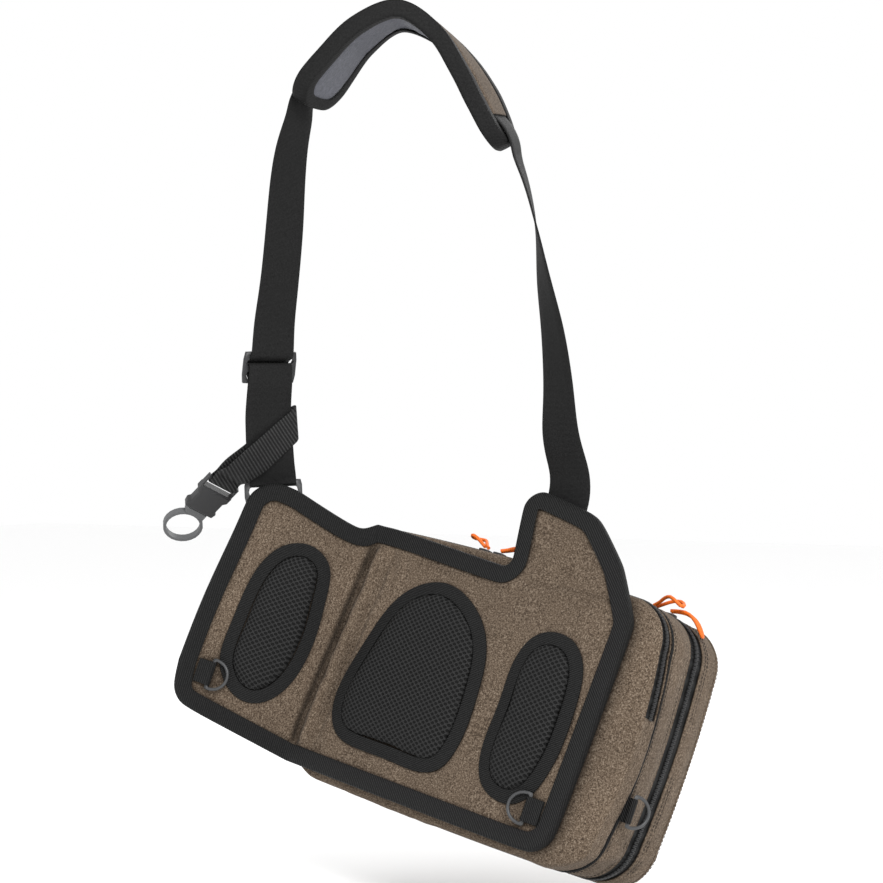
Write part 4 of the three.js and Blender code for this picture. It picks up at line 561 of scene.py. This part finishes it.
REAR_ZIP_FROM = 0.3
REAR_ZIP_TO = REAR_ZIP_FROM + REAR_ZIP_WIDTH / POCKET_DEPTH
REAR_ZIP_UP = 0.64
RIGHT_UP = FLAT_STEPS + CORNER_STEPS + int(REAR_ZIP_UP * (FLAT_STEPS + 1))
LEFT_UP = len(ring(0, 0, 0)) - RIGHT_UP
zip_near, zip_far = pocket_row(REAR_ZIP_FROM, 0, 1.1), pocket_row(REAR_ZIP_TO, -0.02, 1.4)
pocket_rows = between_rows(
    [
        pocket_row(0, 1.6, 0),
        pocket_row(0, 0.6, 0),
        pocket_row(0.07, 0.28, 0.4),
        pocket_row(0.18, 0.08, 0.8),
        zip_near,
    ],
    6,
)
zip_rows = between_rows([zip_near, zip_far], 6)
lip_rows = between_rows([zip_far, pocket_row(1, 0.04, 1.1)], 6)
first_zip = len(pocket_rows) - 1
last_zip = first_zip + len(zip_rows) - 1
shell(
    "rear_pocket_cloth",
    pocket_rows[:-1] + zip_rows[:-1] + lip_rows,
    ["rear_pocket"],
    cap_first=True,
    gap=lambda i, j: first_zip <= i < last_zip and RIGHT_UP <= j <= LEFT_UP,
)

# The gusset, the lid's side and its domed front
gusset_rows = between_rows(
    [
        (GUSSET_Y, 0.04 * BODY_CORNER, 1.1),
        (GUSSET_Y + 0.2 * GUSSET_DEPTH, 0, 1.0),
        (GUSSET_Y + 0.6 * GUSSET_DEPTH, -0.02 * BODY_CORNER, 0.8),
        (ZIP_Y, 0, 0.6),
    ],
    8,
)
shell("main_body_cloth", gusset_rows, ["main_body"])
lid_rows = [(LID_Y, 0, 0.5), (LID_Y + LID_SIDE / 2, -0.01 * BODY_CORNER, 0.5), (RIM_Y, 0, 0.4)]
shell("lid_side_cloth", between_rows(lid_rows, 7), ["front_lid"])
dome_rows = between_rows(
    [
        (RIM_Y, 0, 0.4),
        (RIM_Y + 0.45 * LID_DOME, 0.13 * BODY_CORNER, 0.2),
        (RIM_Y + 0.75 * LID_DOME, 0.4 * BODY_CORNER, 0.1),
        (RIM_Y + 0.93 * LID_DOME, 0.9 * BODY_CORNER, 0),
        (RIM_Y + 1.0 * LID_DOME, 1.9 * BODY_CORNER, 0),
        (RIM_Y + 1.02 * LID_DOME, 102, 0),
    ],
    8,
)
shell("lid_front_cloth", dome_rows, ["front_lid"], cap_last=True)


# Lines round the body: tape, coil, piping and stitches
def even(points, pitch):
    """The same line with points every pitch millimetres."""
    made, left = [], 0.0
    for a, b in zip(points, points[1:]):
        a, b = Vector(a), Vector(b)
        length = (b - a).length
        while left <= length and length > 0:
            made.append(a.lerp(b, left / length))
            left += pitch
        left -= length
    return made


def stroke_frames(points):
    """At each point: where it is, the way on, and the way out from the body's middle."""
    made = []
    for i, p in enumerate(points):
        on = points[min(i + 1, len(points) - 1)] - points[max(i - 1, 0)]
        on.normalize()
        out = on.cross(DEPTH)
        if out.dot(p - Vector((0, p.y, BODY_MIDDLE))) < 0:
            out = -out
        made.append((p, on, out.normalized()))
    return made


BEAD_PROFILE = [(-0.5, 0.45), (-0.3, 1.0), (0.3, 1.0), (0.5, 0.45)]
BEAD_SIDES = 6


def bead(bm, place, size):
    """A little rounded bar: its length along x, width along y, height along z of place."""
    length, width, height = size
    loops = []
    for at, wide in BEAD_PROFILE:
        loop = []
        for k in range(BEAD_SIDES):
            a = 2 * math.pi * (k + 0.5) / BEAD_SIDES
            y, z = 0.5 * width * wide * math.cos(a), 0.5 * height * wide * math.sin(a)
            loop.append(bm.verts.new(place @ Vector((at * length, y, z))))
        loops.append(loop)
    for a, b in zip(loops, loops[1:]):
        join_loops(bm, a, b)
    bm.faces.new(loops[0][::-1])
    bm.faces.new(loops[-1])


def basis(x, y, z, origin):
    made = Matrix((x, y, z)).transposed().to_4x4()
    made.translation = origin
    return BAG_MM @ made


STITCH_PITCH, STITCH_LENGTH, STITCH_THICK, STITCH_LIFT = 3.4, 2.3, 0.55, 0.25


def stitches(piece, lines):
    """Rows of sewing thread, one bead to a stitch, slightly uneven."""
    bm = bmesh.new()
    for line in lines:
        for i, (p, on, out) in enumerate(stroke_frames(even(line, STITCH_PITCH))):
            side = on.cross(out)
            wander = 0.12 * math.sin(1.7 * i)
            place = basis(on, side, out, p + out * STITCH_LIFT + side * wander)
            bead(bm, place, (STITCH_LENGTH, STITCH_THICK, STITCH_THICK))
    finish_mesh(piece, mesh_of(bm, piece), THREAD, smooth=35)


TAPE_THICK, TAPE_STEP = 1.2, 3.0
TAPE_SECTION = [
    (-0.5, 0),
    (-0.3, 0.15),
    (0, 0.2),
    (0.3, 0.15),
    (0.5, 0),
    (0.5, -TAPE_THICK),
    (-0.5, -TAPE_THICK),
]


def zip_tape(piece, line, width, stands_for):
    """A flat strip of zip tape along a line, its width across the body's rings."""
    bm = bmesh.new()
    rows = []
    for p, on, out in stroke_frames(even(line, TAPE_STEP)):
        places = [p + DEPTH * (v * width) + out * (h - TAPE_THICK) for v, h in TAPE_SECTION]
        rows.append([bm.verts.new(bag(*place)) for place in places])
    for a, b in zip(rows, rows[1:]):
        join_loops(bm, a, b)
    bm.faces.new(rows[0][::-1])
    bm.faces.new(rows[-1])
    bmesh.ops.recalc_face_normals(bm, faces=bm.faces)
    finish_mesh(piece, mesh_of(bm, piece), ZIP_TAPE, stands_for, smooth=40)


COIL_LEAN, COIL_FILL, COIL_SINK = 0.08, 0.72, 0.9


def coil(piece, line, width, height, pitch):
    """A zip's coil: a row of rounded teeth across the line, leaning alternately."""
    bm = bmesh.new()
    for i, (p, on, out) in enumerate(stroke_frames(even(line, pitch))):
        lean = COIL_LEAN if i % 2 else -COIL_LEAN
        across = (DEPTH + on * lean).normalized()
        along = across.cross(out).normalized()
        origin = p + out * (height / 2 - COIL_SINK)
        bead(bm, basis(across, along, out, origin), (width, pitch * COIL_FILL, height))
    finish_mesh(piece, mesh_of(bm, piece), ZIP_TEETH, smooth=35)


PIPING_SIDES, PIPING_STEP = 8, 4.0


def piping(piece, y, inset, bulge, radius, material):
    """A thin round edge sewn into a seam all the way round."""
    bm = bmesh.new()
    loops = []
    for p, on, out in stroke_frames(even(closed(y, inset, bulge), PIPING_STEP)):
        loop = []
        for k in range(PIPING_SIDES):
            a = 2 * math.pi * k / PIPING_SIDES
            place = p + out * radius * math.cos(a) + DEPTH * radius * math.sin(a)
            loop.append(bm.verts.new(bag(*place)))
        loops.append(loop)
    for a, b in zip(loops, loops[1:] + loops[:1]):
        join_loops(bm, a, b)
    bmesh.ops.recalc_face_normals(bm, faces=bm.faces)
    finish_mesh(piece, mesh_of(bm, piece), material)


REAR_TAPE_WIDTH, MAIN_TAPE_WIDTH, MAIN_ZIP_START = 14.6, 24.6, 0.79
rear_zip_y = POCKET_Y + (REAR_ZIP_FROM + REAR_ZIP_TO) / 2 * POCKET_DEPTH
rear_line = ring(rear_zip_y, -0.01 * BODY_CORNER, 1.25)[RIGHT_UP : LEFT_UP + 1]
zip_tape("rear_zip_tape", rear_line, REAR_TAPE_WIDTH, ["rear_zip"])
coil("rear_zip_coil", rear_line, 5.6, 1.9, 1.5)
main_ring = ring(ZIP_Y + MAIN_ZIP_WIDTH / 2, 0.01 * BODY_CORNER, 0.55)
start = next(i for i, p in enumerate(main_ring) if p[0] > MAIN_ZIP_START * BODY_FLAT)
main_line = main_ring[start : len(main_ring) - start + 1]
zip_tape("main_zip_tape", main_line, MAIN_TAPE_WIDTH, ["main_zip"])
coil("main_zip_coil", main_line, 6.4, 2.1, 1.6)
piping("rear_seam_piping", GUSSET_Y - 0.1, 0.5, 1.12, 1.5, BINDING)
piping("lid_rim_piping", RIM_Y, 0.2, 0.4, 1.3, CANVAS)
piping("zip_edge_near", ZIP_Y + 0.4, 0.4, 0.6, 0.8, CANVAS)
piping("zip_edge_far", LID_Y - 0.4, 0.4, 0.5, 0.8, CANVAS)
lip_line = ring(POCKET_Y + (REAR_ZIP_TO + 0.08) * POCKET_DEPTH, -0.2, 1.35)
stitches(
    "body_stitching",
    [
        closed(ZIP_Y - 4.5, -0.1, 0.65),
        closed(LID_Y + 4.0, -0.1, 0.5),
        closed(LID_Y + 8.0, -0.2, 0.5),
        closed(RIM_Y + 4.5, 0.9, 0.35),
        closed(GUSSET_Y + 5, 0.0, 1.0),
        lip_line[RIGHT_UP : LEFT_UP + 1],
    ],
)

# The back panel: padded cloth. Each fold is a rise in mm, where it lies and its width
CREASE_X, CREASE_LEAN = -141.5, math.radians(3.9)
CREASE_FOLDS = [(4.6, 9, 5.2), (-4.6, -0.5, 3.0), (-1.8, 18.5, 2.6)]
EAR_FOLDS = [(-1.5, 0, 1.9), (0.7, 6, 4.5), (0.5, -6, 4.0)]
WING_FOLDS = [(-0.7, 0, 3.0), (0.6, -7, 5)]
CREASE_LOW, CREASE_HIGH, CREASE_FADE = 14, 202, 10
EAR_FROM, WING_TO = 30, -135


def folds(profile, across):
    return sum(rise * bell(across - at, width) for rise, at, width in profile)


def faded(distance, fade):
    return max(0.0, min(1.0, distance / fade))


def crease(x, z):
    """The fold between the wing and the centre: a groove, a rib beside it, and wrinkles."""
    across = (x - CREASE_X) * math.cos(CREASE_LEAN) - z * math.sin(CREASE_LEAN)
    wander = 1.2 * noise.noise(Vector((0.5, z / 24, 3.5)))
    rise = folds(CREASE_FOLDS, across - wander)
    rise += 1.3 * bell(across - 9, 9) * noise.noise(Vector((x / 9, 2.5, z / 12)))
    ends = bell(z - 196, 26) + bell(z - 8, 24)
    rise += ends * bell(across - 12, 26) * math.sin(0.5 * across + 0.16 * z) * 0.8
    return rise * faded(z - CREASE_LOW, CREASE_FADE) * faded(CREASE_HIGH - z, CREASE_FADE)


def panel_shape(co, normal):
    """The panel's cloth: slow swells, the wing's crease, and folds under the ear and the wing's top."""
    p = FROM_BAG @ co
    x, z = p.x / MM, p.z / MM
    rise = 0.8 * noise.noise(Vector((x / 34, 1.5, z / 34)))
    rise += 0.5 * noise.noise(Vector((x / 15, 4.5, z / 22)))
    if (FROM_BAG.to_3x3() @ normal).y < 0:
        rise += crease(x, z)
    if x > EAR_FROM:
        rise += folds(EAR_FOLDS, z - (206 + 0.06 * (x - 60)))
    if x < WING_TO:
        rise += folds(WING_FOLDS, z - (186 + 0.1 * (x + 170)))
    return co + normal * (rise * MM)


remeshed("back_panel", "back_panel_cloth", 0.0019, CANVAS, 3, panel_shape)
rounded("panel_binding", "panel_binding_tape", BINDING, sharp=40, crease=0.35)
for name, mesh in (("centre", PAD_MESH), ("side", PAD_MESH), ("wing", WING_MESH)):
    tape = f"{name}_pad_tape"
    rounded(tape, f"{tape}_ribbed", PAD_TAPE, levels=3, crease=0.5)
    pad = remeshed(f"{name}_pad", f"{name}_mesh_pad", 0.0016, mesh, 8)
    inflated(pad, 0.0012)

# Straps, tabs and hardware
WIRE_SHARP = 80
rounded("shoulder_strap", "shoulder_strap_webbing", STRAP_WEB)
rounded("buckle_webbing", "buckle_strap_webbing", BUCKLE_WEB)
rounded("ring_anchor", "ring_anchor_webbing", STRAP_WEB)
for name in ("panel_ring_tab", "wing_ring_tab", "side_ring_tab"):
    rounded(name, f"{name}_webbing", BINDING)
for name in ("panel_ring", "wing_ring", "side_ring"):
    rounded(name, f"{name}_wire", GREY_PLASTIC, sharp=WIRE_SHARP, body=name)
rounded("strap_ring", "strap_ring_wire", GREY_PLASTIC, sharp=WIRE_SHARP)
rounded("strap_slider", "strap_slider_wire", BLACK_PLASTIC, sharp=WIRE_SHARP)
rounded("shoulder_pad_binding", "shoulder_pad_tape", STRAP_WEB)
foam = remeshed("shoulder_pad", "shoulder_pad_lining", 0.0022, LINING, 5)
inflated(foam, 0.0010)
rounded("shoulder_pad_cover", "shoulder_pad_canvas", COVER, levels=3)
for name, material, slot in (
    ("buckle_body", BLACK_PLASTIC, "black_plastic"),
    ("buckle_plug", PLUG_GREY, "grey_plastic"),
):
    piece = f"{name}_moulding"
    bm = welded(name)
    bmesh.ops.dissolve_limit(bm, angle_limit=math.radians(3), verts=bm.verts, edges=bm.edges)
    block = finish_mesh(piece, mesh_of(bm, piece), material, [name], smooth=35)
    edge = block.modifiers.new("eased", "BEVEL")
    edge.width = 0.0005
    edge.segments = 2
    edge.limit_method = "ANGLE"
    edge.angle_limit = math.radians(32)
SLIDERS = ("rear_slider_left", "rear_slider_right", "main_slider_left", "main_slider_right")
for name in SLIDERS:
    rounded(name, f"{name}_cast", BLACK_PLASTIC, levels=3, sharp=60, crease=0.35)

# Pull cords: out from a slider, round a loop and back beside itself, as in the solids
CORD_DIAMETER, CORD_LOOP_WIDTH, SEAM_GAP = 3, 13, 0.3
CORD_ROUTE = [
    (0, -0.15, 0),
    (0.2, -0.2, 0.3),
    (0.45, -0.38, 0.75),
    (0.7, -0.5, 1),
    (0.9, -0.36, 0.95),
    (1, 0, 0.85),
    (0.9, 0.36, 0.95),
    (0.7, 0.5, 1),
    (0.45, 0.38, 0.75),
    (0.2, 0.2, 0.3),
    (0, 0.15, 0),
]
CORD_LOOPS = [
    {"cord": "rear_pull_left", "turn": 158, "reach": 22, "lift": 7, "droop": 0},
    {"cord": "rear_pull_right", "turn": 24, "reach": 24, "lift": 7, "droop": 0},
    {"cord": "main_pull_left", "turn": -20, "reach": 31, "lift": 12, "droop": 6},
    {"cord": "main_pull_right", "turn": 14, "reach": 32, "lift": 8, "droop": 20},
]
CORD_POINTS, CORD_SAMPLES, CORD_DIGITS = 20, 200, 5


def slider_top(name):
    """The middle of a slider's top, in the bag's millimetres."""
    corners = [(FROM_BAG @ v.co) / MM for v in NODES[name].data.vertices]
    low = [min(c[k] for c in corners) for k in range(3)]
    high = [max(c[k] for c in corners) for k in range(3)]
    return Vector(((low[0] + high[0]) / 2, (low[1] + high[1]) / 2, high[2]))


def cord_route(slider, loop):
    """The points that a cord passes through, in the bag's millimetres."""
    turn = math.radians(loop["turn"])
    along = Vector((math.cos(turn), math.sin(turn), 0))
    beside = Vector((-math.sin(turn), math.cos(turn), 0))
    start = slider_top(slider) + Vector((0, 0, SEAM_GAP + CORD_DIAMETER / 2))
    route = []
    for out, side, up in CORD_ROUTE:
        rise = Vector((0, 0, up * loop["lift"] - out * out * loop["droop"]))
        route.append(start + along * (out * loop["reach"]) + beside * (side * CORD_LOOP_WIDTH) + rise)
    return route


def curve_at(points, share):
    """A point on the centripetal Catmull-Rom curve through the points."""
    last = len(points) - 1
    i = min(int(share * last), last - 1)
    a, b = points[i], points[i + 1]
    before = points[i - 1] if i > 0 else 2 * a - b
    after = points[i + 2] if i + 2 <= last else 2 * b - a
    pairs = ((before, a), (a, b), (b, after))
    enter, middle, leave = (math.sqrt((q - p).length) for p, q in pairs)
    first = (a - before) / enter - (b - before) / (enter + middle) + (b - a) / middle
    second = (b - a) / middle - (after - a) / (middle + leave) + (after - b) / leave
    first, second = first * middle, second * middle
    t = share * last - i
    square, cube = 3 * (b - a) - 2 * first - second, 2 * (a - b) + first + second
    return a + first * t + square * t * t + cube * t * t * t


def spaced(points):
    """Points an even length apart along the curve, and its whole length."""
    samples = [curve_at(points, k / CORD_SAMPLES) for k in range(CORD_SAMPLES + 1)]
    lengths = [0.0]
    for a, b in zip(samples, samples[1:]):
        lengths.append(lengths[-1] + (b - a).length)
    made, k = [], 0
    for i in range(CORD_POINTS):
        goal = lengths[-1] * i / (CORD_POINTS - 1)
        while k < CORD_SAMPLES - 1 and lengths[k + 1] <= goal:
            k += 1
        within = (goal - lengths[k]) / (lengths[k + 1] - lengths[k])
        made.append(curve_at(points, min(1.0, (k + within) / CORD_SAMPLES)))
    return made, lengths[-1]


for slider, loop in zip(SLIDERS, CORD_LOOPS):
    name = loop["cord"]
    route, length = spaced(cord_route(slider, loop))
    points = [tuple(round(c, CORD_DIGITS) for c in bag(*p)) for p in route]
    data = bpy.data.curves.new(name, "CURVE")
    data.dimensions = "3D"
    data.bevel_depth = CORD_DIAMETER / 2 * MM
    data.bevel_resolution = 4
    data.use_fill_caps = True
    spline = data.splines.new("POLY")
    spline.points.add(len(points) - 1)
    for point, co in zip(spline.points, points):
        point.co = (*co, 1)
    data.materials.append(ORANGE)
    cord = bpy.data.objects.new(f"{name}_cord", data)
    bpy.context.scene.collection.objects.link(cord)
    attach(cord, "bag")
    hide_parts(name)

# Studio
FLOOR_HALF, FLOOR_DROP = 6.0, 0.02
level = CAD_BOX[0][2] - FLOOR_DROP
floor_mesh = bpy.data.meshes.new("floor")
floor_corners = [(-1, -1), (1, -1), (1, 1), (-1, 1)]
floor_points = [(x * FLOOR_HALF, y * FLOOR_HALF, level) for x, y in floor_corners]
floor_mesh.from_pydata(floor_points, [], [(0, 1, 2, 3)])
floor = bpy.data.objects.new("floor", floor_mesh)
bpy.context.scene.collection.objects.link(floor)
white, _, floor_shader = nodes_of("studio_white")
floor_shader.inputs["Base Color"].default_value = (0.97, 0.97, 0.97, 1)
floor_shader.inputs["Roughness"].default_value = 0.9
floor_mesh.materials.append(white)
world = bpy.data.worlds.new("studio")
bpy.context.scene.world = world
world.use_nodes = True
world.node_tree.nodes["Background"].inputs["Color"].default_value = (1, 1, 1, 1)
world.node_tree.nodes["Background"].inputs["Strength"].default_value = 1.0


def lamp(name, at, aim, power, size):
    """A square soft lamp at a place, turned to its aim."""
    data = bpy.data.lights.new(name, "AREA")
    data.energy = power
    data.size = size
    obj = bpy.data.objects.new(name, data)
    obj.location = at
    obj.rotation_euler = (Vector(aim) - Vector(at)).to_track_quat("-Z", "Y").to_euler()
    bpy.context.scene.collection.objects.link(obj)


lamp("key", (1.7, -1.5, 0.9), (0, 0, -0.5), 52, 0.7)
lamp("fill", (-1.6, -0.9, 0.3), (0, 0, -0.5), 2, 1.4)
lamp("back", (-0.4, 1.8, 0.8), (0, 0.1, -0.5), 14, 1.2)
bpy.context.scene.view_settings.view_transform = "Standard"
